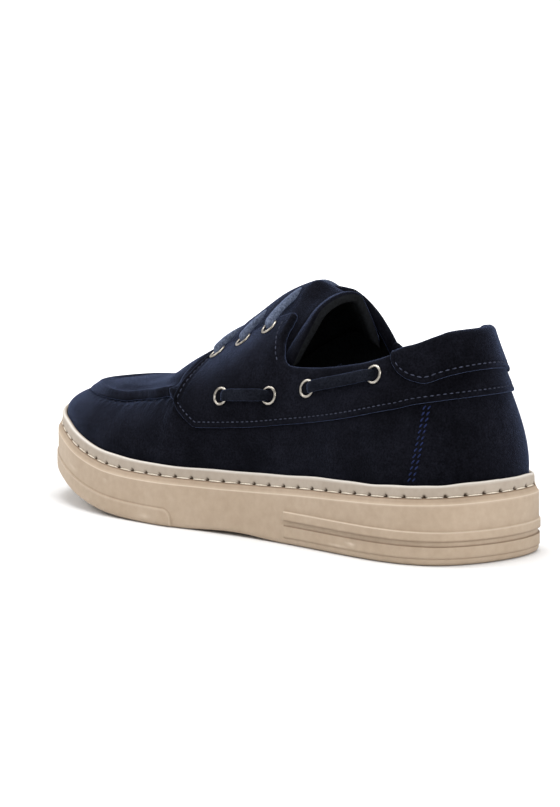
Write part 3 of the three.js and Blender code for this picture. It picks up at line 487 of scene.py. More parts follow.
# %% From grids to pieces
collection = bpy.context.scene.collection


def grid_faces(columns, rows, ring=False, tube=False, first=0):
    """Quads (i,j), (i+1,j), (i+1,j+1), (i,j+1); a ring joins the last column to the first, a tube the rows."""
    i = np.arange(columns if ring else columns - 1)[:, None]
    j = np.arange(rows if tube else rows - 1)[None, :]
    i2, j2 = (i + 1) % columns, (j + 1) % rows
    corners = [i * rows + j, i2 * rows + j, i2 * rows + j2, i * rows + j2]
    return np.stack([np.broadcast_to(c, np.broadcast(i, j).shape) for c in corners], -1).reshape(-1, 4) + first


def new_piece(name, points, faces, material, nodes=(), shade=None, inside=None):
    """
    Welds the points, closes poles, turns the faces outwards and puts the piece on the shoe. nodes are the solids
    that it replaces, and inside is a second material with a mask of the faces that have it.
    """
    mesh = bpy.data.meshes.new(name)
    pinched = (faces == np.roll(faces, 1, axis=1)).any(1)  # quads with one corner twice are triangles
    corners = faces[~pinched].tolist() + [list(dict.fromkeys(face)) for face in faces[pinched].tolist()]
    mesh.from_pydata(((np.asarray(points).reshape(-1, 3) - middle) * MM).tolist(), [], corners)
    mesh.materials.append(material)
    if inside:
        mesh.materials.append(inside[0])
        second = np.concatenate([inside[1][~pinched], inside[1][pinched]])
        mesh.polygons.foreach_set("material_index", second.astype(np.int32))
    if shade is not None:
        layer = mesh.attributes.new("shade", "FLOAT", "POINT")
        layer.data.foreach_set("value", np.asarray(shade, np.float32).ravel())
    work = bmesh.new()
    work.from_mesh(mesh)
    bmesh.ops.remove_doubles(work, verts=work.verts, dist=4e-6)
    bmesh.ops.dissolve_degenerate(work, edges=work.edges, dist=1e-6)
    loose = [v for v in work.verts if not v.link_faces]
    bmesh.ops.delete(work, geom=loose, context="VERTS")
    bmesh.ops.recalc_face_normals(work, faces=work.faces)
    for face in work.faces:
        face.smooth = True
    open_edges = sum(1 for e in work.edges if len(e.link_faces) != 2)
    work.to_mesh(mesh)
    work.free()
    piece = bpy.data.objects.new(name, mesh)
    collection.objects.link(piece)
    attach(piece, "root")
    if nodes:
        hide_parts(*nodes)
    print(f"{name}: {len(mesh.polygons)} faces, {open_edges} open edges")


def tube_caps(columns, rows):
    """Two flat ends of a tube whose rows close: a fan of quads across each end loop."""
    half = rows // 2
    j = np.arange(half)
    quads = np.stack([j, j + 1, (rows - 1 - j) % rows, (rows - j) % rows], -1)
    return np.concatenate([quads[:, ::-1], quads + (columns - 1) * rows])


print("a tube of 5 rings with 6 corners:", len(grid_faces(5, 6, tube=True)) + len(tube_caps(5, 6)), "faces")

# %% [markdown]
# Materials. Each is made of a few nodes that read Object coordinates, so the pattern stays with the shoe.
# Suede has a nap: short fibres that lie in patches, catch light at a grazing angle and leave the surface matte.
# Three sizes of noise give its patches, its brush strokes and its fibres, with a strong fine bump and a soft sheen.

# %% A helper for node materials
def new_material(name, roughness, metallic=0.0):
    """A material with its node list, its links and its shader."""
    material = bpy.data.materials.new(name)
    material.use_nodes = True
    nodes = material.node_tree.nodes
    shader = nodes["Principled BSDF"]
    shader.inputs["Roughness"].default_value = roughness
    shader.inputs["Metallic"].default_value = metallic
    return material, nodes, material.node_tree.links, shader


def srgb(r, g, b):
    """sRGB bytes to linear light."""
    c = np.array([r, g, b]) / 255
    return tuple(np.where(c <= 0.04045, c / 12.92, ((c + 0.055) / 1.055) ** 2.4)) + (1.0,)


def noise(nodes, links, scale, detail=3.0, roughness=0.55, stretch=None):
    """Noise on Object coordinates; stretch pulls it along an axis, as brush strokes are."""
    place = nodes.new("ShaderNodeTexCoord")
    source = place.outputs["Object"]
    if stretch:
        turner = nodes.new("ShaderNodeMapping")
        turner.inputs["Scale"].default_value = stretch
        links.new(source, turner.inputs["Vector"])
        source = turner.outputs["Vector"]
    grain = nodes.new("ShaderNodeTexNoise")
    grain.inputs["Scale"].default_value = scale
    grain.inputs["Detail"].default_value = detail
    grain.inputs["Roughness"].default_value = roughness
    links.new(source, grain.inputs["Vector"])
    return grain.outputs["Fac"]


def ramp(nodes, links, source, *stops):
    """Colours between stops of place and colour."""
    scale = nodes.new("ShaderNodeValToRGB")
    elements = scale.color_ramp.elements
    for k, (place, colour) in enumerate(stops):
        element = elements[k] if k < 2 else elements.new(place)
        element.position, element.color = place, colour
    links.new(source, scale.inputs["Fac"])
    return scale.outputs["Color"]


def mixed(nodes, links, factor, first, second, blend="MIX"):
    """Two colours mixed; each of the three inputs is a number, a colour or another node's output."""
    mixer = nodes.new("ShaderNodeMix")
    mixer.data_type, mixer.blend_type = "RGBA", blend
    for value, socket in ((factor, 0), (first, 6), (second, 7)):
        if isinstance(value, (int, float, tuple)):
            mixer.inputs[socket].default_value = value
        else:
            links.new(value, mixer.inputs[socket])
    return mixer.outputs[2]


def bumped(nodes, links, shader, *layers):
    """Bumps one over the other, each a height source, its strength and its depth in metres."""
    normal = None
    for height, strength, depth in layers:
        node = nodes.new("ShaderNodeBump")
        node.inputs["Strength"].default_value = strength
        node.inputs["Distance"].default_value = depth
        links.new(height, node.inputs["Height"])
        if normal:
            links.new(normal, node.inputs["Normal"])
        normal = node.outputs["Normal"]
    links.new(normal, shader.inputs["Normal"])


def attribute(nodes, name):
    """A number that the mesh carries at each point."""
    reader = nodes.new("ShaderNodeAttribute")
    reader.attribute_name = name
    return reader.outputs["Fac"]


# %% Suede, in the upper's blue, the side laces' blue and a lighter blue of painted highlight for the throat laces
def suede(name, dark, light, sheen=0.3):
    """Nap from three sizes of noise, with painted shade where the shade attribute marks creases, seams, cut edges and
    folds.
    """
    material, nodes, links, shader = new_material(name, 1.0)
    patches = noise(nodes, links, 34, 5, 0.62)
    brushed = noise(nodes, links, 190, 4, 0.65, stretch=(1.0, 0.45, 1.0))
    nap = noise(nodes, links, 950, 5, 0.85)
    colour = ramp(nodes, links, patches, (0.28, dark), (0.72, light))
    strokes = ramp(nodes, links, brushed, (0.32, (0.60, 0.60, 0.62, 1)), (0.70, (1, 1, 1, 1)))
    fibres = ramp(nodes, links, nap, (0.40, (0.30, 0.30, 0.32, 1)), (0.62, (1, 1, 1, 1)))
    colour = mixed(nodes, links, 1.0, colour, strokes, "MULTIPLY")
    colour = mixed(nodes, links, 1.0, colour, fibres, "MULTIPLY")
    # painted shade: the shade attribute darkens the suede in creases, seams, cut edges and under folds
    crease = ramp(nodes, links, attribute(nodes, "shade"), (0.0, (1, 1, 1, 1)), (1.0, (0.10, 0.10, 0.12, 1)))
    links.new(mixed(nodes, links, 1.0, colour, crease, "MULTIPLY"), shader.inputs["Base Color"])
    shader.inputs["Diffuse Roughness"].default_value = 1.0
    shader.inputs["Sheen Weight"].default_value = sheen
    shader.inputs["Sheen Roughness"].default_value = 0.28
    shader.inputs["Sheen Tint"].default_value = (0.42, 0.55, 1.0, 1)
    shader.inputs["Specular IOR Level"].default_value = 0.03
    bumped(nodes, links, shader, (patches, 0.35, 0.0008), (brushed, 0.35, 0.0004), (nap, 0.75, 0.00035))
    return material


navy = suede("suede_navy", srgb(14, 14, 19), srgb(33, 34, 43))
navy_dark = suede("suede_tongue", srgb(17, 17, 22), srgb(30, 31, 40))
navy_lace = suede("lace_navy", srgb(24, 26, 33), srgb(38, 41, 50))
# painted highlight: the throat laces get a much lighter copy of the lace blue, standing in for the light on the bars'
# tops
lace_painted_lit = suede("lace_navy_painted_lit", srgb(98, 108, 130), srgb(138, 150, 174))
print("suedes:", [material.name for material in (navy, navy_dark, navy_lace, lace_painted_lit)])

# %% [markdown]
# The rubber of the cup is moulded: an even matte beige with a faint cloudiness and a very fine grain. Its steps,
# grooves and holes are darkened with painted shade, and some edges are lightened with a painted highlight. The strip
# above it is the same rubber, paler and greyer.

# %% Rubber, lining, metal and thread
def rubber(name, dark, light, groove, highlight_and_scuff):
    """Shade 1 is painted shade in a groove, a step or a hole; shade -1 is lighter: a painted highlight along an edge,
    and a real scuff.
    """
    material, nodes, links, shader = new_material(name, 0.62)
    clouds = noise(nodes, links, 24, 5, 0.6)
    mottle = noise(nodes, links, 260, 3, 0.6)
    colour = ramp(nodes, links, clouds, (0.30, dark), (0.70, light))
    speckle = ramp(nodes, links, mottle, (0.30, (0.90, 0.89, 0.88, 1)), (0.70, (1, 1, 1, 1)))
    colour = mixed(nodes, links, 1.0, colour, speckle, "MULTIPLY")
    shade = attribute(nodes, "shade")
    # painted shade: the shade attribute darkens grooves, steps and holes towards the groove colour
    painted_shade = ramp(nodes, links, shade, (0.0, (1, 1, 1, 1)), (1.0, groove))
    colour = mixed(nodes, links, 1.0, colour, painted_shade, "MULTIPLY")
    # shade below 0 lightens: painted highlights along edges, and real scuffs
    highlight_and_scuff_amount = nodes.new("ShaderNodeMath")
    highlight_and_scuff_amount.operation, highlight_and_scuff_amount.use_clamp = "MULTIPLY", True
    links.new(shade, highlight_and_scuff_amount.inputs[0])
    highlight_and_scuff_amount.inputs[1].default_value = -1.0
    links.new(mixed(nodes, links, highlight_and_scuff_amount.outputs[0], colour, highlight_and_scuff), shader.inputs["Base Color"])
    shader.inputs["Specular IOR Level"].default_value = 0.3
    grain = noise(nodes, links, 1500, 2)
    bumped(nodes, links, shader, (clouds, 0.15, 0.0006), (mottle, 0.2, 0.0002), (grain, 0.25, 0.0001))
    return material


# the fourth colour is the painted shade in grooves and holes, the fifth the painted highlight on edges and the colour
# of scuffs
beige = rubber("rubber_beige", srgb(166, 147, 126), srgb(178, 160, 140), (0.50, 0.43, 0.37, 1), srgb(200, 184, 166))
pale = rubber("rubber_pale", srgb(158, 146, 132), srgb(172, 160, 147), (0.16, 0.12, 0.09, 1), srgb(206, 200, 192))


def plain(name, dark, light, roughness, scale, depth):
    """Cloth or thread: one fine noise in colour and bump."""
    material, nodes, links, shader = new_material(name, roughness)
    cloth = noise(nodes, links, scale, 3)
    links.new(ramp(nodes, links, cloth, (0.35, dark), (0.65, light)), shader.inputs["Base Color"])
    shader.inputs["Specular IOR Level"].default_value = 0.1
    bumped(nodes, links, shader, (cloth, 0.5, depth))
    return material


lining = plain("lining_black", srgb(14, 15, 17), srgb(24, 26, 29), 0.9, 700, 0.0002)
thread = plain("thread_slate", srgb(40, 43, 54), srgb(66, 70, 86), 0.8, 1200, 0.0001)
seam_blue = plain("thread_blue", srgb(17, 23, 46), srgb(32, 43, 80), 0.8, 1200, 0.0001)
welt_thread = plain("thread_beige", srgb(196, 184, 166), srgb(226, 216, 200), 0.75, 1200, 0.0001)
metal, nodes, links, shader = new_material("eyelet_silver", 0.3, 1.0)
tarnish = noise(nodes, links, 240, 3)
silver = ramp(nodes, links, tarnish, (0.3, srgb(112, 106, 98)), (0.7, srgb(186, 180, 170)))
links.new(silver, shader.inputs["Base Color"])
bumped(nodes, links, shader, (noise(nodes, links, 900, 2), 0.12, 0.00005))
print("materials:", len(bpy.data.materials))

# %% [markdown]
# The cup sole. One profile, from the tread up over the side to the ledge, is carried round the outline. Round the
# heel it carries bands with a groove between them, and round the toe one low step; both end at a clean line. A solid
# with so many steps is best made from a fine grid, where each step is a smooth change of some tenths of a
# millimetre. The tread and the cup's floor are two more grids between the outer and the inner side.

# %% Bands round the heel and the step round the toe
heel_bands_end, toe_step_start, toe_step_height, toe_step_round = 0.33, 0.565, 8.3, 5.0
lip_drop, layer_gap = 8.5, 0.4
tread_first = np.concatenate([np.arange(22, 90.1, 13), np.arange(180, 262.1, 13)])
tread_width, tread_depth, tread_margin = 3.2, 2.0, 9.0
arch_from, arch_to, arch_depth = 0.33, 0.56, 1.4


def bottom_round(up):
    """The lower edge: a quarter round of 2 mm."""
    return -2.0 * (1 - np.sqrt(np.clip(1 - (1 - np.clip(up / 2.0, 0, 1)) ** 2, 0, 1)))


def heel_bands(up):
    """Bands round the heel: a tread layer, a groove pair with a rib between, and the upper band."""
    tread_layer = 0.45 * smooth(3.0, 3.4, up) * (1 - smooth(8.5, 8.8, up))
    rib = -0.45 * smooth(8.5, 8.8, up) * (1 - smooth(10.9, 11.2, up))
    band = 0.7 * smooth(10.9, 11.2, up) * (1 - smooth(15.0, 15.5, up))
    return tread_layer + rib + band


def heel_band_shade(up):
    """Painted shade in the three grooves and just above the band, and a painted highlight along the band's upper edge.
    """
    return (0.75 * bump(up - 8.65, 0.2) + 0.65 * bump(up - 11.05, 0.2) + 0.5 * bump(up - 3.2, 0.2)
            - 0.75 * bump(up - 15.15, 0.22) + 0.3 * bump(up - 15.9, 0.35))


def toe_inside(share, up):
    """Distance inside the one low band round the toe, 8.3 mm high, with a rounded rear end of 5 mm."""
    back, over, radius = (share - toe_step_start) * sole_length, up - toe_step_height, toe_step_round
    a, b = np.maximum(radius - back, 0), np.maximum(over + radius, 0)
    return np.where(back > radius, -over, radius - np.hypot(a, b))


def toe_step(share, up):
    """The toe's band stands 0.6 mm proud."""
    return 0.6 * smooth(-0.25, 0.25, toe_inside(share, up))


scuffs = np.array([  # share, height, length, width, strength on the outer side
    [0.176, 6.0, 2.2, 0.8, 1.0], [0.205, 4.2, 5.0, 0.5, 0.5], [0.62, 3.5, 3.0, 0.9, 0.6], [0.72, 16.0, 1.4, 1.6, 0.3],
    [0.30, 18.0, 1.2, 1.0, 0.3], [0.83, 12.0, 5.0, 0.8, 0.35]])


def scuffed(turn, up):
    """Sum of bells where scuffs make the rubber lighter."""
    total = np.zeros(np.broadcast(turn, up).shape)
    for at, height, length, width, strength in scuffs:
        along = (share_of(turn) - at) * sole_length
        total = total + strength * bump(along, length) * bump(up - height, width) * ~is_medial(turn)
    return total


def arch(share, up):
    """The waist's lower edge is lifted by arch_depth sin^2(pi along), which fades out up the side."""
    along = np.clip((share - arch_from) / (arch_to - arch_from), 0, 1)
    return arch_depth * np.sin(np.pi * along) ** 2 * np.clip(1 - up / toe_step_height, 0, 1)


print(len(tread_first), "tread grooves of", tread_width, "mm")

# %% The cup's side, from the tread to the ledge
half_groove, bevel = tread_width / 2, 0.15
groove_edges = np.concatenate([tread_first - half_groove - bevel, tread_first - half_groove + bevel,
                               tread_first + half_groove - bevel, tread_first + half_groove + bevel]) / sole_length
sole_shares = np.unique(np.round(np.concatenate([
    share_of(np.linspace(0, 1, 150)), groove_edges, [0.3285, 0.3315], np.arange(0.5635, 0.584, 0.0013)]), 5))
sole_turns = np.concatenate([turn_of(sole_shares), turn_of(sole_shares[1:-1], True)[::-1]])
side_ups = np.concatenate([[0, 0.08, 0.3, 0.65, 1.1, 1.6, 2.1], [2.6, 3.0, 3.13, 3.27, 3.4, 4.2, 5.2, 6.2, 7.0, 7.5],
                           [7.8, 8.05, 8.2, 8.35, 8.5, 8.6, 8.7, 8.8, 9.4, 10.3, 10.9, 11.0, 11.1, 11.2],
                           [12, 13.3, 14.4, 14.85, 15.0, 15.17, 15.33, 15.5, 15.8, 16.2]])
column = sole_turns[:, None]
share = share_of(column)
side_out = bottom_round(side_ups) + heel_bands(side_ups) * (share < heel_bands_end) + toe_step(share, side_ups)
side_up = side_ups + arch(share, side_ups) + spring(share)
lip_z = rim(share) - lip_drop
rest = np.array([0.25, 0.5, 0.75, 0.93])
above = side_up[:, -1:] + (lip_z - 0.5 - side_up[:, -1:]) * rest
lip_profile = np.array([  # out, drop under the rim
    [0, 9.0], [-0.04, 8.75], [-0.2, 8.45], [-0.5, 8.2], [-1.0, 7.3], [-1.45, 6.4], [-1.75, 5.9], [-2.3, 5.7],
    [-4.3, 5.7]])
sole_out = np.concatenate([side_out, np.zeros((len(column), len(rest))),
                           np.broadcast_to(lip_profile[:, 0], (len(column), len(lip_profile)))], 1)
sole_z = np.concatenate([side_up, above, rim(share) - lip_profile[:, 1]], 1)
sole_out = np.concatenate([sole_out, np.full((len(column), 1), -4.3)], 1)
sole_z = np.concatenate([sole_z, cup_floor(share)], 1)
sole_side = sole_place(column, sole_out, sole_z)

print("side:", sole_side.shape[0], "columns of", sole_side.shape[1], "rows")


# %% The tread, with its grooves
def both_sides(points, row):
    """One row of a ring as two lines from heel to toe, outer and inner, which share both ends."""
    n = len(sole_shares)
    return points[:n, row], np.concatenate([points[:1, row], points[n:, row][::-1], points[n - 1:n, row]])


lateral, medial = both_sides(sole_side, 0)
inset = np.array([[0.6, 2, 4.5, 7, 8.7, 9.0, 9.3, 12, 16, 22, 30]])
half = np.linalg.norm(medial - lateral, axis=1)[:, None] / 2
fraction = np.minimum(inset / np.maximum(2 * half, 1e-6), 0.46)
fraction = np.concatenate([fraction, np.full((len(sole_shares), 1), 0.5), 1 - fraction[:, ::-1]], 1)
bottom = lateral[:, None] + (medial - lateral)[:, None] * fraction[..., None]
in_groove = np.zeros(fraction.shape)
for place in tread_first:
    in_groove = np.maximum(in_groove, 1 - smooth(1.45, 1.75, np.abs(bottom[..., 1] - place)))
from_edge = np.minimum(fraction, 1 - fraction) * 2 * half
in_groove *= smooth(tread_margin - 0.3, tread_margin + 0.3, from_edge)
bottom[..., 2] += tread_depth * in_groove

bottom_full = np.concatenate([lateral[:, None], bottom, medial[:, None]], 1)
print("grooves lift the tread by", np.ptp(in_groove) * tread_depth, "mm")

# %% Painted shade, painted highlights, scuffs and the whole cup
top_lateral, top_medial = both_sides(sole_side, -1)
top_full = np.stack([top_lateral, (top_lateral + top_medial) / 2, top_medial], 1)
sole_faces = [grid_faces(len(sole_turns), sole_side.shape[1], ring=True),
              grid_faces(len(sole_shares), bottom_full.shape[1], first=sole_side.size // 3),
              grid_faces(len(sole_shares), 3, first=(sole_side.size + bottom_full.size) // 3)]
lip_drops = lip_profile[:, 1]
# painted highlight on the lip's outer corner, painted shade on its slanted ledge and under the strip
lip_painted_light_and_shade = -0.9 * bump(lip_drops - 8.75, 0.22) + 0.28 * (lip_drops < 8.0) + 0.6 * (lip_drops < 6.0)
toe_edge = toe_inside(share, side_ups)
# painted shade in the heel's grooves and along the toe band's top edge, painted highlights on the heel band's top edge
# and just below the toe band's edge; the scuffs are real lighter wear
side_shade = (heel_band_shade(side_ups) * (share < heel_bands_end)
              + 0.4 * bump(toe_edge + 0.3, 0.3) - 0.3 * bump(toe_edge - 0.5, 0.4) - scuffed(column, side_ups))
cup_shade = np.concatenate([side_shade, np.zeros((len(column), len(rest))),
                            np.broadcast_to(lip_painted_light_and_shade, (len(column), len(lip_painted_light_and_shade))), np.zeros((len(column), 1))], 1)
# painted shade in the tread's grooves
sole_shade = np.concatenate([cup_shade.ravel(), 0.6 * np.pad(in_groove, ((0, 0), (1, 1))).ravel(),
                             np.zeros(top_full.size // 3)])
sole_points = np.concatenate([grid.reshape(-1, 3) for grid in (sole_side, bottom_full, top_full)])
new_piece("outsole_rubber", sole_points, np.concatenate(sole_faces), beige, ["outsole"], sole_shade)

# %% [markdown]
# The pale strip runs round the top of the cup and is sewn to it in the groove at its foot. Every 9.7 mm the thread
# dives into a hole and pulls the rubber in. The strip is one profile carried round; the holes press its foot in.

# %% Holes at even steps round the rim
stitch_pitch, strip_foot = 9.7, 5.3
ring = np.linspace(0, 2, 2401)[:-1]
ring_points = sole_place(ring, -2.2, rim(share_of(ring)) - strip_foot)
ring_run = run_along(ring_points, 0)
ring_total = ring_run[-1] + np.linalg.norm(ring_points[0] - ring_points[-1])
hole_count = int(round(ring_total / stitch_pitch))
hole_pitch = ring_total / hole_count
print("strip is", ring_total.round(0), "mm long with", hole_count, "stitches")
to_hole = np.abs(np.mod(ring_run / hole_pitch + 0.5, 1) - 0.5) * hole_pitch

# %% The stitched strip
strip_profile = np.array([  # out, drop, how much a hole presses it, painted shade (below 0 a painted highlight)
    [-4.3, 5.75, 0, 1], [-2.9, 5.75, 0.6, 1], [-2.4, 5.6, 1, 1], [-2.22, 5.35, 1, 0.75], [-2.12, 5.05, 1, 0.15],
    [-2.08, 4.7, 0.9, 0], [-2.06, 4.3, 0.35, 0], [-2.1, 3.6, 0, 0], [-2.15, 2.4, 0, 0], [-2.18, 1.4, 0, 0],
    [-2.25, 0.8, 0, -0.3], [-2.45, 0.32, 0, -0.9], [-2.8, 0.06, 0, -0.9], [-3.2, 0.0, 0, -0.6], [-3.8, 0.1, 0, 0],
    [-4.3, 0.35, 0, 0]])
press = np.clip(1.2 * bump(to_hole, 0.75), 0, 1) * (1 - 0.75 * smooth(0.76, 0.86, share_of(ring)))  # less at the toe
press = press[:, None]
wave = (0.22 * np.sin(ring * 19 + 1) + 0.16 * np.sin(ring * 43) + 0.1 * np.sin(ring * 88 + 2))[:, None]
strip_out = strip_profile[:, 0] - 0.9 * press * strip_profile[:, 2]
strip_drop = strip_profile[:, 1] - 0.15 * press * strip_profile[:, 2] - wave * (strip_profile[:, 1] < 1)
strip_points = sole_place(ring[:, None], strip_out, rim(share_of(ring))[:, None] - strip_drop)
# painted shade in the groove and the holes at the strip's foot, and a painted highlight along its top edge
strip_shade = np.maximum(strip_profile[:, 3], 0.97 * press * strip_profile[:, 2])
strip_shade = np.where(strip_profile[:, 3] < 0, strip_profile[:, 3], strip_shade)
new_piece("rim_strip_rubber", strip_points, grid_faces(len(ring), len(strip_profile), ring=True, tube=True), pale,
          ["rim_strip"], strip_shade)


# %% [markdown]
# Stitches are beads of thread: short, thick in the middle and buried at both ends. Hundreds of them are made at
# once, each a ring of five corners carried along three stations, and joined to one piece for each seam.

# %% Rows of stitches
def along_path(points, pitch):
    """Places at equal steps along a line of points, with the direction there."""
    run = run_along(points, 0)
    count = max(int(run[-1] / pitch), 1)
    at = (np.arange(count) + 0.5) * run[-1] / count
    ahead = points_at(np.minimum(at + 0.3, run[-1]), run, points)
    behind = points_at(np.maximum(at - 0.3, 0), run, points)
    return points_at(at, run, points), unit(ahead - behind), at / run[-1]


def stitches(name, rows, length, radius, material, slant=0.0, flat=0.8):
    """
    Beads: from -1 to 1 along the length the radius is radius sqrt(1 - s^2), flattened, and the ends sink 0.3 mm.
    rows holds places, directions and normals; slant turns each bead across its row.
    """
    stations = np.array([-1, -0.75, 0, 0.75, 1])
    angles = np.arange(6) * np.pi / 3
    one = np.concatenate([grid_faces(len(stations), len(angles), tube=True), tube_caps(len(stations), len(angles))])
    corners = len(stations) * len(angles)
    points, faces, count = [], [], 0
    for place, way, normal in rows:
        side = unit(np.cross(way, normal))
        way = unit(way * np.cos(slant) + side * np.sin(slant))
        side = unit(np.cross(way, normal))
        size = radius * np.sqrt(1 - (stations * 0.96) ** 2)
        ring_side = np.cos(angles)[None, :] * size[:, None]
        ring_up = np.sin(angles)[None, :] * size[:, None] * flat
        sink = -0.3 * stations ** 2
        grid = (place[:, None, None] + way[:, None, None] * (stations * length / 2)[None, :, None, None]
                + side[:, None, None] * ring_side[None, ..., None]
                + normal[:, None, None] * (ring_up + sink[:, None])[None, ..., None])
        points.append(grid.reshape(-1, 3))
        faces.append((one[None] + corners * np.arange(len(place))[:, None, None]).reshape(-1, 4) + count)
        count += corners * len(place)
    new_piece(name, np.concatenate(points), np.concatenate(faces), material)


def seam_row(turns, ups, out, pitch):
    """Places, directions and normals of stitches at even steps along a line on the last."""
    points = wall_out(turns, ups, out)
    place, way, share = along_path(points, pitch)
    run = run_along(points, 0)
    return place, way, unit(points_at(share * run[-1], run, last_normal(turns, ups)))


def welt_line(turn):
    """The line of the strip's stitches, 1.9 mm inside the outline in the groove at the strip's foot."""
    return sole_place(turn, -1.9, rim(share_of(turn)) - 5.35)


welt_at = np.interp((np.arange(hole_count) + 0.5) * hole_pitch, ring_run, ring)
welt_way = unit(welt_line(welt_at + probe) - welt_line(welt_at - probe))
welt_normal = np.concatenate([outward(welt_at), np.full((hole_count, 1), 0.6)], 1)
stitches("stitches_strip", [(welt_line(welt_at), welt_way, unit(welt_normal))], hole_pitch - 1.9, 0.36, welt_thread)

# %% [markdown]
# The upper's own wall, from the cup's floor to the collar. The outside is suede and the inside lining, so the wall
# is one closed skin with two materials: a grid of rows up the outside, over the edge and down the inside. Where the
# forefoot closes, both sides meet on the ridge and are welded.

# %% Columns and rows of the wall
wall, seam_start = 2.2, 1.6
fine = np.concatenate([np.linspace(0, 1, 181), turn_of(np.arange(0.335, 0.415, 0.0022)),
                       turn_of(np.array([throat_front])), turn_of(np.linspace(0.57, 0.61, 17))])
wall_side = np.unique(np.round(fine, 6))
wall_turns = np.concatenate([wall_side, (2 - wall_side[1:-1])[::-1]])
top_up = edge_up(wall_turns)
outer_rows = np.concatenate([np.linspace(0, 0.94, 66), [0.965, 0.985, 1.0]])
inner_rows = np.concatenate([[1.0, 0.985], np.linspace(0.95, 0, 22)])
column = wall_turns[:, None]
outer_ups, inner_ups = top_up[:, None] * outer_rows, top_up[:, None] * inner_rows
print("wall:", len(wall_turns), "columns")

# %% The upper's wall
foot_z = cup_floor(share_of(column)) + 0.3
outer = wall_out(column, outer_ups, 0.0, gather=1.0)
inner = wall_out(column, inner_ups, -wall)
outer_foot = sole_place(column, -upper_inset, foot_z)
inner_foot = sole_place(column, -upper_inset - wall, foot_z)
upper_points = np.concatenate([outer_foot, outer, inner, inner_foot], 1)
upper_faces = grid_faces(len(wall_turns), upper_points.shape[1], ring=True, tube=True)
edge_row = outer.shape[1]
face_column, face_row = np.divmod(np.arange(len(upper_faces)), upper_points.shape[1])
closed = is_closed(wall_turns)
welded = (face_row == edge_row) & (closed & np.roll(closed, -1))[face_column]
upper_faces, face_row = upper_faces[~welded], face_row[~welded]
print(welded.sum(), "edge faces left out where the ridge is closed")

# %% The crease outside the moccasin seam
seam_below = (apron_up(share_of(column)) - outer_ups) * wall_run
# painted shade along the crease outside the moccasin seam
crease = (0.75 * bump(seam_below - seam_start, 1.0) * (1 - smooth(0.78, 0.9, share_of(column)))
          * smooth(0.57, 0.61, share_of(column)))
upper_shade = np.concatenate([np.zeros((len(column), 1)), crease, np.zeros((len(column), inner.shape[1] + 1))], 1)
new_piece("upper_suede", upper_points, upper_faces, navy, ["upper"], upper_shade,
          inside=(lining, face_row > edge_row))

# %% [markdown]
# The saddle is the eyestay and the collar band in one, cut from the same suede and laid over the wall. Along the
# collar it is folded over the edge and covers the lining for a few millimetres, which makes the edge soft and round.
# Lower and front edge are cut edges: the skin gets thinner over the last millimetre. A seam 2.7 mm inside presses
# the leather down. The skin is one closed profile: outside up, over the fold, down inside and back up underneath.

# %% Cut edges and rows between two edges
overlay, seam_inset, seam_dip, edge_round = 1.2, 2.7, 0.32, 0.9
near, far = layer_gap, layer_gap + overlay
saddle_front = 0.5855
stay_step, step_low, step_high = 1.25, 0.37, 0.43


def edge_profile(distance, radius=edge_round):
    """Quarter ellipse: the thickness grows from 0 at the edge to 1 at the radius."""
    t = np.clip(distance / radius, 0, 1)
    return np.sqrt(1 - (1 - t) ** 2)


def interp_rows(x, xs, values):
    """Straight-line interpolation, each row of x in the same row of the table."""
    i = np.clip((x[:, :, None] >= xs[:, None, :]).sum(-1) - 1, 0, xs.shape[1] - 2)
    x0, x1 = np.take_along_axis(xs, i, 1), np.take_along_axis(xs, i + 1, 1)
    v0, v1 = np.take_along_axis(values, i, 1), np.take_along_axis(values, i + 1, 1)
    return v0 + (x - x0) * (v1 - v0) / (x1 - x0)


def rows_from_edges(turns, low, top, near_low, count, near_top):
    """Shares up the wall: rows at millimetres from the low edge, an even middle, and rows before the top edge."""
    probe_rows = low[:, None] + (top - low)[:, None] * np.linspace(0, 1, 60)
    run = run_along(last_point(turns[:, None], probe_rows), 1)
    length = run[:, -1:]
    first = near_low * np.minimum(1, 0.45 * length / near_low[-1])
    last = length - near_top * np.minimum(1, 0.45 * length / near_top[0])
    middle = first[:, -1:] + (last[:, :1] - first[:, -1:]) * np.linspace(0, 1, count + 2)[1:-1]
    return interp_rows(np.concatenate([first, middle, last], 1), run, probe_rows)


def step_over(from_end):
    """The eyestay's front end steps up over the apron's edge, between 5 and 1 mm from its end."""
    return stay_step * smooth(5.0, 1.0, from_end)


near_low = np.array([0, 0.12, 0.35, 0.65, 1.0, 1.5, 2.0, 2.4, 2.7, 3.0, 3.4, 4.0, 5.0])
near_top = np.array([6.5, 4.5, 3.0, 1.8, 0.9, 0.3, 0.0])
roll_angles = np.radians([15, 35, 60, 90, 120, 150, 180])
tuck_depths = np.array([1.0, 2.5, 4.5, 6.2, 7.0])
print("half way into its round edge the suede has", edge_profile(edge_round / 2).round(2), "of its thickness")


# %% A layer that is folded over the collar
def edge_ways(turns, top):
    """Directions at the wall's top edge: outwards, and across the edge away from the wall."""
    point = last_point(turns, top)
    normal = last_normal(turns, top)
    next_turns, last_turns = np.mod(turns + 1e-3, 2), np.mod(turns - 1e-3, 2)
    along = unit(last_point(next_turns, edge_up(next_turns)) - last_point(last_turns, edge_up(last_turns)))
    over = unit(np.cross(along, normal))
    upward = point - last_point(turns, top - 0.01)
    over *= np.sign((over * upward).sum(-1, keepdims=True))
    return normal, over


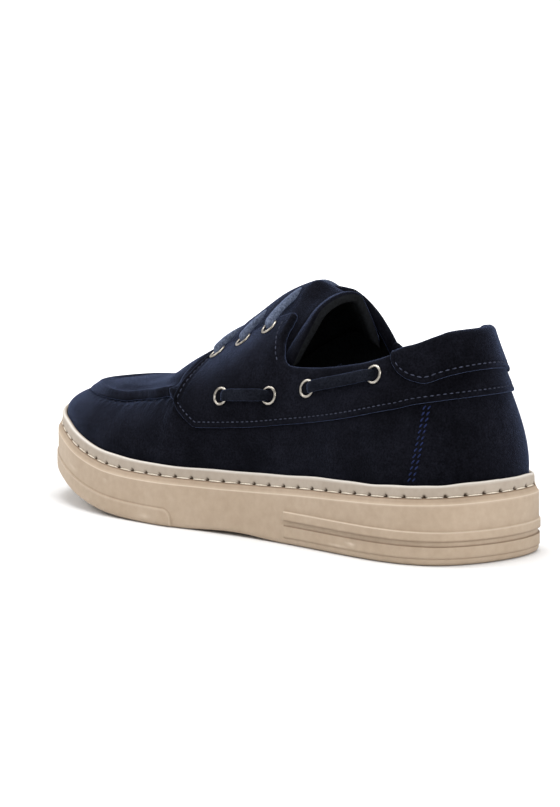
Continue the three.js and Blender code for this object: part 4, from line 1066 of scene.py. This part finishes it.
def folded(name, turns, low, from_ends, lift, tuck, step_up, nodes):
    """
    A layer folded over the collar. Outside it lies lift mm over the last and is 1.2 mm thick; a half circle goes
    round the edge, and inside it lies tuck mm under the lining's face for 7 mm. from_ends is each column's distance
    from the layer's ends, and step_up what its end is raised by. Returned are the distances from its low edge and
    the shares up the wall, for drawing a seam.
    """
    top = edge_up(turns)
    ups = rows_from_edges(turns, low, top, near_low, 34, near_top)
    column = turns[:, None]
    base = last_point(column, ups)
    slope = np.gradient(base[:, 0, 2]) / np.maximum(np.linalg.norm(np.gradient(base[:, 0], axis=0), axis=-1), 1e-6)
    from_low = run_along(base, 1) * np.sqrt(np.clip(1 - slope ** 2, 0.2, 1))[:, None]
    border = np.minimum(from_low, from_ends[:, None])
    step = step_up[:, None] * smooth(step_low, step_high, ups)
    out = lift + overlay * edge_profile(border) - seam_dip * bump(border - seam_inset, 0.55) + step
    outer = wall_out(column, ups, out)
    under = wall_out(column, ups, np.minimum(lift + step * 0.9, out))
    normal, over = edge_ways(turns, top)
    edge = last_point(turns, top)[:, None] + normal[:, None] * softness(turns, top)[:, None, None]
    inner = -wall - 0.25 - tuck
    centre_out, radius = (lift + overlay + inner) / 2, (lift + overlay - inner) / 2
    thin = edge_profile(from_ends)[:, None]
    roll = (edge + normal[:, None] * (centre_out + radius * np.cos(roll_angles) * (0.25 + 0.75 * thin))[..., None]
            + over[:, None] * (radius * 1.05 * np.sin(roll_angles) * thin)[..., None])
    probe_ups = top[:, None] * np.linspace(1, 0.6, 40)
    probe_run = run_along(last_point(column, probe_ups), 1)
    tuck_ups = interp_rows(np.broadcast_to(tuck_depths, (len(turns), len(tuck_depths))), probe_run, probe_ups)
    tucked = wall_out(column, tuck_ups, -wall - tuck - 0.05 - 0.75 * edge_profile(7.0 - tuck_depths, 1.2))
    back = wall_out(column, tuck_ups[:, ::-1], -wall - tuck - 0.05)
    over_edge = (edge + normal[:, None] * np.array([-wall - tuck - 0.1, -0.9, 0.3])[None, :, None]
                 + over[:, None] * (np.array([0.1, 0.45, 0.1]) * thin)[..., None])
    profile = np.concatenate([outer, roll, tucked, back[:, 1:], over_edge, under[:, ::-1][:, :-1]], 1)
    rows = profile.shape[1]
    shade = np.zeros((len(turns), rows))
    # painted shade along the seam, at the cut edge, and inside under the fold
    shade[:, :outer.shape[1]] = 0.35 * bump(border - seam_inset, 0.5) + 0.6 * bump(border, 0.35)
    shade[:, outer.shape[1] + len(roll_angles):] = 0.2
    new_piece(name, profile, np.concatenate([grid_faces(len(turns), rows, tube=True), tube_caps(len(turns), rows)]),
              navy, nodes, shade)
    return from_low, ups


print("the fold reaches", tuck_depths[-1], "mm down inside")

# %% The saddle round the whole collar
saddle_shares = np.unique(np.round(np.concatenate([
    share_of(np.linspace(0.004, turn_of(saddle_front), 150)), np.arange(0.335, 0.415, 0.0022),
    saddle_front - near_low / sole_length]), 7))
saddle_turns = np.concatenate([turn_of(saddle_shares[::-1], True), [0.0], turn_of(saddle_shares)])
from_front = (saddle_front - share_of(saddle_turns)) * sole_length
saddle_from_low, saddle_ups = folded(
    "saddle_suede", saddle_turns, saddle_low(saddle_turns), from_front, near, 0.0,
    step_over(from_front), ["saddle_lateral", "saddle_medial"])

# %% [markdown]
# The heel patch lies over the band at the back of the heel and is folded over the collar with it. Its lower edge
# curves up at both ends to the collar, so it is made by the same function as the saddle, one layer further out.

# %% The heel patch
patch_low = through([0, 0.012, 0.024, 0.034, 0.047, 0.063, 0.093, 0.1087, 0.1185],
                    [0.832, 0.818, 0.803, 0.791, 0.784, 0.790, 0.815, 0.846, 0.882])
patch_end = 0.1185
patch_ends = turn_of(patch_end - near_low[:-1] / sole_length)
patch_half = np.unique(np.round(np.concatenate([np.linspace(0, turn_of(patch_end), 60), patch_ends]), 6))
patch_turns = np.mod(np.concatenate([-patch_half[::-1], patch_half[1:]]), 2)
patch_low_up = up_at_height(patch_turns, patch_low(share_of(patch_turns)) * heel_height)
patch_line = run_along(last_point(patch_turns, edge_up(patch_turns)), 0)
patch_from_end = np.minimum(patch_line, patch_line[-1] - patch_line)
patch_from_low, patch_ups = folded("heel_patch_suede", patch_turns, patch_low_up, patch_from_end,
                                   far + layer_gap, 0.85, np.zeros(len(patch_turns)), ["heel_patch"])

# %% [markdown]
# The apron, or plug, closes the forefoot. Plug and wall are pinched together and sewn, which raises the moccasin
# seam: a soft rounded ridge about 3 mm high, with a crease outside it and a shallow hollow inside.

# %% Columns and rows of the apron
apron_back = 0.578
half_turns = np.unique(np.round(np.concatenate([
    turn_of(apron_back + np.array([0, 0.15, 0.5, 1.0, 1.6]) / sole_length), turn_of(np.linspace(0.585, 0.605, 8)),
    np.linspace(turn_of(0.6051), 1, 110)]), 6))
apron_turns = np.concatenate([half_turns, (2 - half_turns[:-1])[::-1]])
toe = smooth(0.78, 0.93, share_of(apron_turns))[:, None]
low = apron_up(share_of(apron_turns)) - (seam_start + 3.0 * toe[:, 0]) / wall_run
seam_rows = np.array([0, 0.15, 0.4, 0.8, 1.3, 1.9, 2.5, 3.1, 3.7, 4.3, 5.0, 5.8, 6.8, 8.0, 9.5, 11.0])
apron_ups = rows_from_edges(apron_turns, low, np.ones_like(low), seam_rows, 24, np.array([1.5, 0.7, 0.0]))
apron_base = last_point(apron_turns[:, None], apron_ups)
apron_run, apron_along = run_along(apron_base, 1), run_along(apron_base, 0)
apron_border = np.minimum(apron_run, np.minimum(apron_along, apron_along[-1:] - apron_along))
print("apron:", len(apron_turns), "columns of", apron_ups.shape[1], "rows")

# %% The apron with its moccasin seam
ridge = (2.1 - 0.9 * toe) * bump(apron_run - 3.3 - 3.0 * toe, 1.9 + 0.5 * toe)
hollow = -0.6 * bump(apron_run - 8.5 - 3.0 * toe, 3.0)
apron_forward = smooth(0.578, 0.60, share_of(apron_turns))[:, None]
seam_ripple = 0.12 * np.sin(2 * np.pi * np.arange(len(apron_turns)) / 3.1)[:, None] * bump(apron_run - 2.6, 1.5)
relief = (ridge + hollow + seam_ripple) * apron_forward
apron_out = near + overlay * edge_profile(apron_border, 1.6 + 4.4 * toe) + relief * edge_profile(apron_border)
apron_outer = wall_out(apron_turns[:, None], apron_ups, apron_out)
apron_under = wall_out(apron_turns[:, None], apron_ups, near)
profile = np.concatenate([apron_outer, apron_under[:, ::-1]], 1)
faces = grid_faces(len(apron_turns), profile.shape[1], tube=True)
face_column, face_row = np.divmod(np.arange(len(faces)), profile.shape[1])
closed = is_closed(apron_turns)
welded = (face_row == apron_ups.shape[1] - 1) & (closed & np.roll(closed, -1))[face_column]
shade = np.zeros(profile.shape[:2])
# painted shade on the ridge's inner side and along the apron's edge in the crease
shade[:, :apron_ups.shape[1]] = (0.3 * bump(apron_run - 6.8 - 3.0 * toe, 1.2) * apron_forward
                                 + (0.7 - 0.6 * toe) * bump(apron_run, 0.6))
new_piece("apron_suede", profile, faces[~welded], navy, ["apron"], shade)

# %% [markdown]
# The tongue runs under the throat: two wings inside the wall and an arch over the instep. Its rear end stands up
# and shows, so it has a seam 7 mm in, a soft edge and a dark lining behind.

# %% The tongue's line across the throat
tongue_drop, tongue_thick, tongue_end = 2.0, 2.6, 0.368
standing, covered = 0.385, 0.44  # shares where its rear end stands free, and where the eyestays hold it
wing = np.array([0.62, 0.70, 0.78, 0.84, 0.90, 0.95, 1.0])


def tongue_line(shares):
    """Outer wing up, a cubic arch that leaves both eyestays along the wall, inner wing down."""
    a_turn, b_turn = turn_of(shares), turn_of(shares, True)
    left = last_point(a_turn[:, None], wing[None])
    right = last_point(b_turn[:, None], wing[None])
    a, b = left[:, -1], right[:, -1]
    pull = np.linalg.norm(b - a, axis=1, keepdims=True) * (0.3 + 0.27 * smooth(standing, covered, shares))[:, None]
    rise_a = unit(a - last_point(a_turn, 0.97))
    rise_b = unit(b - last_point(b_turn, 0.97))
    t = np.linspace(0, 1, 33)[1:-1][None, :, None]
    p1, p2 = a + rise_a * pull, b + rise_b * pull
    arch_points = ((1 - t) ** 3 * a[:, None] + 3 * t * (1 - t) ** 2 * p1[:, None]
                   + 3 * t * t * (1 - t) * p2[:, None] + t ** 3 * b[:, None])
    return np.concatenate([left, arch_points, right[:, ::-1]], 1)


end_steps = np.array([0, 0.15, 0.45, 0.9, 1.5, 2.5, 4, 5.5, 6.4, 6.9, 7.4, 8.2])
tongue_shares = np.concatenate([tongue_end + end_steps / sole_length, np.linspace(0.40, 0.597, 36)])
lines = tongue_line(tongue_shares)
over_way = np.gradient(lines, axis=1)
along_way = np.gradient(lines, tongue_shares, axis=0)
tongue_normal = unit(np.cross(over_way, along_way))
print("tongue: lines of", lines.shape[1], "points at", lines.shape[0], "stations")

# %% The tongue, padded between its seams
from_end = (tongue_shares - tongue_shares[0])[:, None] * sole_length
across = run_along(lines, 1)
tongue_border = np.minimum(from_end, np.minimum(across, across[:, -1:] - across))
soft_tongue = edge_profile(tongue_border, 1.3)
drop = tongue_drop + 1.4 - 2.2 * smooth(standing, covered, tongue_shares)[:, None] + tongue_thick / 2
between = np.clip(across / across[:, -1:] - 0.19, 0, 0.62) / 0.62
in_throat = smooth(covered, 0.50, tongue_shares) * (1 - smooth(0.582, 0.597, tongue_shares))
full = np.sqrt(np.sin(np.pi * between)) * in_throat[:, None]
pad = 2.8 * full + 0.35 * bump(from_end - 3.4, 2.4) - 0.45 * bump(from_end - 6.9, 0.6) + 0.5 * smooth(8, 22, from_end)
roll = 2.2 * (1 - smooth(4.5, 7.5, from_end)) - 0.5 * bump(from_end - 6.9, 0.6)
tongue_outer = lines + tongue_normal * (-drop + (tongue_thick / 2 + pad) * soft_tongue)[..., None]
tongue_inner = lines + tongue_normal * (-drop - (tongue_thick / 2 + roll) * soft_tongue)[..., None]
profile = np.concatenate([tongue_outer, tongue_inner[:, ::-1]], 1)
faces = grid_faces(len(tongue_shares), profile.shape[1], tube=True)
face_row = np.arange(len(faces)) % profile.shape[1]
faces = np.concatenate([faces, tube_caps(len(tongue_shares), profile.shape[1])[profile.shape[1] // 2:]])
inside_mask = np.concatenate([face_row >= lines.shape[1], np.zeros(profile.shape[1] // 2, bool)])
# painted shade along the seam 7 mm in from the tongue's end
shade = np.concatenate([np.broadcast_to(0.5 * bump(from_end - 6.9, 0.5), lines.shape[:2]),
                        np.zeros(lines.shape[:2])], 1)
new_piece("tongue_suede", profile, faces, navy_dark, ["tongue"], shade, inside=(lining, inside_mask))

# %% [markdown]
# The insole is the sock that lies on the cup's floor, a slightly dished plate with a rounded edge.

# %% The insole
sock_profile = np.array([  # inset, height over the cup's floor
    [0, 0.3], [0, 3.0], [0.15, 3.5], [0.5, 3.85], [1.1, 4.0], [3.0, 3.95], [8.0, 3.7]])
column = sole_turns[:, None]
sock_out = -upper_inset - wall - 0.3 - sock_profile[:, 0]
sock = sole_place(column, sock_out, cup_floor(share_of(column)) + sock_profile[:, 1])
sock_faces = [grid_faces(len(sole_turns), len(sock_profile), ring=True)]
sock_points = [sock.reshape(-1, 3)]
count, across_steps = sock.size // 3, 13
for level, dish in ((0, 0.0), (-1, 0.5)):
    a, b = both_sides(sock, level)
    t = np.linspace(0, 1, across_steps)[None, :, None]
    cap = a[:, None] * (1 - t) + b[:, None] * t
    cap[..., 2] -= dish * np.sin(np.pi * t[..., 0])
    sock_points.append(cap.reshape(-1, 3))
    sock_faces.append(grid_faces(len(sole_shares), across_steps, first=count))
    count += cap.size // 3
new_piece("insole_sock", np.concatenate(sock_points), np.concatenate(sock_faces), lining, ["insole"])

# %% [markdown]
# Eyelets are stamped rings: a flange rolled over the suede and a barrel through it. One profile is turned round the
# hole's axis; the same ring is set on the wall at fourteen places, each facing along the wall's own normal.

# %% The eyelets
side_eyelets = {  # share along, share up
    "front": (0.480, 0.388), "front_rear": (0.380, 0.388), "rear_front": (0.306, 0.520), "rear": (0.158, 0.675)}
throat_eyelets = {"low": (0.563, 0.908), "middle": (0.505, 0.908), "top": (0.446, 0.903)}
ring_profile = np.array([  # radius, height over the suede
    [3.25, -3.6], [3.2, -1.5], [3.2, 0.3], [3.26, 0.62], [3.42, 0.85], [3.65, 0.98], [3.9, 1.0], [4.15, 0.93],
    [4.36, 0.75], [4.47, 0.5], [4.5, 0.25], [4.35, 0.12], [3.6, 0.1], [3.58, -1.5], [3.58, -3.6]])
turn_steps = np.linspace(0, 2 * np.pi, 41)[:-1]
ring_faces = grid_faces(len(turn_steps), len(ring_profile), ring=True, tube=True)
frames = {}


def eyelet_frame(medial, at, up):
    """Centre on the suede, outward axis, and two axes across it: along the shoe and up the wall."""
    turn = turn_of(at, medial)
    normal = last_normal(turn, up)
    centre = wall_out(turn, up, far)
    side = unit(np.cross(normal, [0, 0, 1.0]))
    return centre, normal, side, np.cross(side, normal)


for group, table in (("side", side_eyelets), ("throat", throat_eyelets)):
    for medial, side_name in ((False, "lateral"), (True, "medial")):
        for key, (at, up) in table.items():
            node = f"{group}_eyelet_{side_name}_{key}"
            centre, normal, side, rise = eyelet_frame(medial, at, up)
            frames[node] = (centre, normal)
            arm = side[None] * np.cos(turn_steps)[:, None] + rise[None] * np.sin(turn_steps)[:, None]
            points = (centre + arm[:, None] * ring_profile[None, :, :1] + normal * ring_profile[None, :, 1:])
            new_piece(f"ring_{group}_{side_name}_{key}", points, ring_faces, metal, [node])

# %% [markdown]
# The lace is a flat leather cord. Between two side eyelets it comes out of one hole, lies along the collar and dives
# into the next; over the throat it bridges from eyelet to eyelet. A rounded profile is carried along the path, and
# gathers where it goes through a ring.

# %% A path and a profile for the lace
def smooth_path(points, count):
    """Smooth path through points: cubic Hermite pieces with Catmull-Rom slopes, sampled evenly."""
    at = run_along(points, 0)
    slope = np.gradient(points, at, axis=0)
    t = np.linspace(0, at[-1], count)
    i = np.clip(np.searchsorted(at, t, side="right") - 1, 0, len(at) - 2)
    h = (at[i + 1] - at[i])[:, None]
    s = ((t - at[i])[:, None]) / h
    return (points[i] * (1 + 2 * s) * (1 - s) ** 2 + points[i + 1] * s * s * (3 - 2 * s)
            + h * (slope[i] * s * (1 - s) ** 2 + slope[i + 1] * s * s * (s - 1)))


def through_ring(centre, normal, ahead, steps):
    """
    Knots from inside the shoe out through a ring, each centre + up normal + on ahead, and the way that the lace's
    flat side faces at each: it turns from minus ahead to the normal.
    """
    knots = [centre + normal * up + ahead * on for up, on in steps]
    return knots, [-ahead, -ahead * 0.8 + normal * 0.4, normal - ahead * 0.5]


def lay_lace(name, start, bridge, end, width, thickness, node, material):
    """
    Super-ellipse |x/w|^2.6 + |z/t|^2.6 = 1 carried along the knots of start, bridge and, backwards, end. width and
    thickness are those in a ring, and what they gain in the open, in millimetres.
    """
    knots = np.concatenate([start[0], bridge[0], end[0][::-1]])
    outs = np.concatenate([start[1], bridge[1], end[1][::-1]])
    path, run = smooth_path(knots, 70), run_along(knots, 0)
    at = np.linspace(0, run[-1], len(path))
    full = smooth(3.5, 11.0, np.minimum(at, at[-1] - at))
    widths, thicknesses = width[0] + width[1] * full, thickness[0] + thickness[1] * full
    way = unit(np.gradient(path, axis=0))
    side = unit(np.cross(way, unit(points_at(at, run, outs))))
    up = np.cross(side, way)
    angles = np.linspace(0, 2 * np.pi, 21)[:-1]
    c, s = np.cos(angles), np.sin(angles)
    x, z = np.sign(c) * np.abs(c) ** 0.77, np.sign(s) * np.abs(s) ** 0.77
    points = (path[:, None] + side[:, None] * (x[None] * widths[:, None] / 2)[..., None]
              + up[:, None] * (z[None] * thicknesses[:, None] / 2)[..., None])
    faces = np.concatenate([grid_faces(len(path), len(angles), tube=True), tube_caps(len(path), len(angles))])
    new_piece(name, points, faces, material, [node])


print("a lace has", len(grid_faces(70, 20, tube=True)), "faces round its side")

# %% The laces along the collar
side_steps = ((-5.5, 0.2), (-2.0, 0.5), (0.7, 1.7))
for medial, side_name in ((False, "lateral"), (True, "medial")):
    for part, first, last_one in (("front", "front", "front_rear"), ("rear", "rear_front", "rear")):
        c0, n0 = frames[f"side_eyelet_{side_name}_{first}"]
        c1, n1 = frames[f"side_eyelet_{side_name}_{last_one}"]
        from_share, to_share = side_eyelets[first][0], side_eyelets[last_one][0]
        along = unit(c1 - c0)
        knots, outs = [], []
        for s in (0.22, 0.36, 0.5, 0.64, 0.78):
            turn = turn_of(from_share + (to_share - from_share) * s, medial)
            up = up_at_height(np.array(turn), c0[2] * (1 - s) + c1[2] * s)
            knots.append(wall_out(turn, up, far + 1.25 + 0.5 * np.sin(np.pi * s)))
            outs.append(last_normal(turn, up))
        lay_lace(f"lace_side_{side_name}_{part}", through_ring(c0, n0, along, side_steps), (knots, outs),
                 through_ring(c1, n1, -along, side_steps), (4.6, 1.2), (2.3, -0.3),
                 f"side_lace_{side_name}_{part}", navy_lace)

# %% The bars over the throat
bar_steps = ((-5.0, 0.2), (-2.0, 0.5), (1.4, 1.5))
t = np.linspace(0, 1, 9)[:, None]
for key in throat_eyelets:
    (c0, n0), (c1, n1) = frames[f"throat_eyelet_lateral_{key}"], frames[f"throat_eyelet_medial_{key}"]
    across = c1 - c0
    run0 = unit(across - n0 * (across @ n0))
    run1 = unit(-across + n1 * (across @ n1))
    p0, p3 = c0 + run0 * 5.2 + n0 * 1.7, c1 + run1 * 5.2 + n1 * 1.7
    pull = np.linalg.norm(p3 - p0) * 0.26
    bar = ((1 - t) ** 3 * p0 + 3 * t * (1 - t) ** 2 * (p0 + run0 * pull)
           + 3 * t * t * (1 - t) * (p3 + run1 * pull) + t ** 3 * p3)
    lay_lace(f"lace_throat_{key}", through_ring(c0, n0, run0, bar_steps), (bar, unit(n0 * (1 - t) + n1 * t)),
             through_ring(c1, n1, run1, bar_steps), (4.9, 0.2), (2.9, 0.4), f"throat_lace_{key}", lace_painted_lit)

# %% [markdown]
# The seams of the upper are small slate stitches: along the saddle's cut edge and up its front, along the patch,
# behind the eyestay, and dots of the moccasin thread under the apron. A blue double row closes the quarter.

# %% The seams on the saddle
thread_over = 0.12
seamed = from_front >= seam_inset - 1e-3
inner_turns = saddle_turns[seamed]
low_line = interp_rows(np.full((len(saddle_turns), 1), seam_inset), saddle_from_low, saddle_ups)[seamed, 0]
climb = np.linspace(0, 1, 40)[1:]
rows = [seam_row(inner_turns, low_line, far - seam_dip + thread_over, 3.0)]
for medial, end_up in ((False, low_line[-1]), (True, low_line[0])):
    turn = np.full(len(climb), turn_of(saddle_front - seam_inset / sole_length, medial))
    climb_up = end_up + (edge_up(turn) - end_up) * climb
    step = step_over(seam_inset) * smooth(step_low, step_high, climb_up)
    rows.append(seam_row(turn, climb_up, far - seam_dip + thread_over + step, 3.0))
stay_row = through([0.3817, 0.3925, 0.4015, 0.411, 0.4185, 0.422], [0.635, 0.675, 0.74, 0.81, 0.885, 0.93])
stay_shares = np.linspace(0.3817, 0.422, 60)
for medial in (False, True):
    rows.append(seam_row(turn_of(stay_shares, medial), stay_row(stay_shares), far + thread_over, 3.0))
stitches("stitches_saddle", rows, 2.2, 0.3, thread)

# %% The seam on the patch
patch_line_up = interp_rows(np.full((len(patch_turns), 1), seam_inset), patch_from_low, patch_ups)[:, 0]
patch_in = patch_from_end >= seam_inset - 1e-3
stitches("stitches_patch", [seam_row(patch_turns[patch_in], patch_line_up[patch_in],
                                     far + layer_gap + overlay - seam_dip + thread_over, 3.3)],
         2.5, 0.34, thread)

# %% The blue double row of the quarter
quarter_top, quarter_spread = 0.51, 1.15
quarter_shares = np.linspace(0.043, 0.072, 50)
rows = []
for medial in (False, True):
    turn = turn_of(quarter_shares, medial)
    foot = up_at_height(turn, rim(share_of(turn)) + 1.0)
    up = quarter_top + (foot - quarter_top) * np.linspace(0, 1, len(quarter_shares))
    for sideways in (-1.0, 1.0):
        shifted = turn_of(quarter_shares + sideways / sole_length * quarter_spread, medial)
        rows.append(seam_row(shifted, up, thread_over, 2.6))
stitches("stitches_quarter", rows, 2.5, 0.42, seam_blue, slant=0.5)

# %% The dots of the moccasin seam
dot_shares = np.linspace(0.60, 0.9995, 300)
dot_turns = np.concatenate([turn_of(dot_shares), turn_of(dot_shares[::-1], True)])
dot_ups = apron_up(share_of(dot_turns)) - (seam_start + 0.9) / wall_run
stitches("stitches_moccasin", [seam_row(dot_turns, dot_ups, 0.0, 6.3)], 1.5, 0.33, thread)

# %% [markdown]
# The floor is a large pale sheet with a painted glow that grows away from the shoe. One soft light stands beyond the
# toe, one behind the heel and a wide one hangs overhead, so the shadow is short and soft.

# %% The floor
floor_mesh = bpy.data.meshes.new("floor")
floor_mesh.from_pydata([(-6, -6, 0), (6, -6, 0), (6, 6, 0), (-6, 6, 0)], [], [(0, 1, 2, 3)])
floor_material, nodes, links, shader = new_material("floor_paper", 0.9)
shader.inputs["Base Color"].default_value = (0.8, 0.8, 0.8, 1)
place_node = nodes.new("ShaderNodeTexCoord")
distance = nodes.new("ShaderNodeVectorMath")
distance.operation = "LENGTH"
links.new(place_node.outputs["Object"], distance.inputs[0])
far_glow = nodes.new("ShaderNodeMapRange")
far_glow.inputs["From Min"].default_value, far_glow.inputs["From Max"].default_value = 0.22, 0.7
far_glow.inputs["To Min"].default_value, far_glow.inputs["To Max"].default_value = 0.0, 0.6
links.new(distance.outputs["Value"], far_glow.inputs["Value"])
# painted light: the floor glows, from nothing within 0.22 m of the shoe to 0.6 beyond 0.7 m
links.new(far_glow.outputs["Result"], shader.inputs["Emission Strength"])
shader.inputs["Emission Color"].default_value = (1, 1, 1, 1)
floor_mesh.materials.append(floor_material)
floor = bpy.data.objects.new("floor", floor_mesh)
floor.location.z = -0.0002
collection.objects.link(floor)
print("floor under the sole's lowest point by", round(low_corner.z / MM + 0.2, 2), "mm")

# %% The light
bpy.context.scene.view_settings.view_transform = "Standard"
world = bpy.data.worlds.new("studio")
bpy.context.scene.world = world
world.use_nodes = True
world.node_tree.nodes["Background"].inputs["Color"].default_value = (1, 1, 1, 1)
world.node_tree.nodes["Background"].inputs["Strength"].default_value = 0.7


def area_light(name, place, aim, size, power):
    """A soft round lamp that looks at a point."""
    data = bpy.data.lights.new(name, "AREA")
    data.shape, data.size, data.energy = "DISK", size, power
    light = bpy.data.objects.new(name, data)
    light.location = place
    light.rotation_euler = (Vector(aim) - Vector(place)).to_track_quat("-Z", "Y").to_euler()
    collection.objects.link(light)


area_light("key", (-1.14, 1.42, 1.5), (0, 0, 0.05), 1.2, 20)
area_light("fill", (-0.5, -2.1, 1.3), (0, 0, 0.05), 1.5, 26)
area_light("top", (0.2, 0.3, 2.2), (0, 0, 0.05), 1.6, 34)
print("lamps:", len(bpy.data.lights))
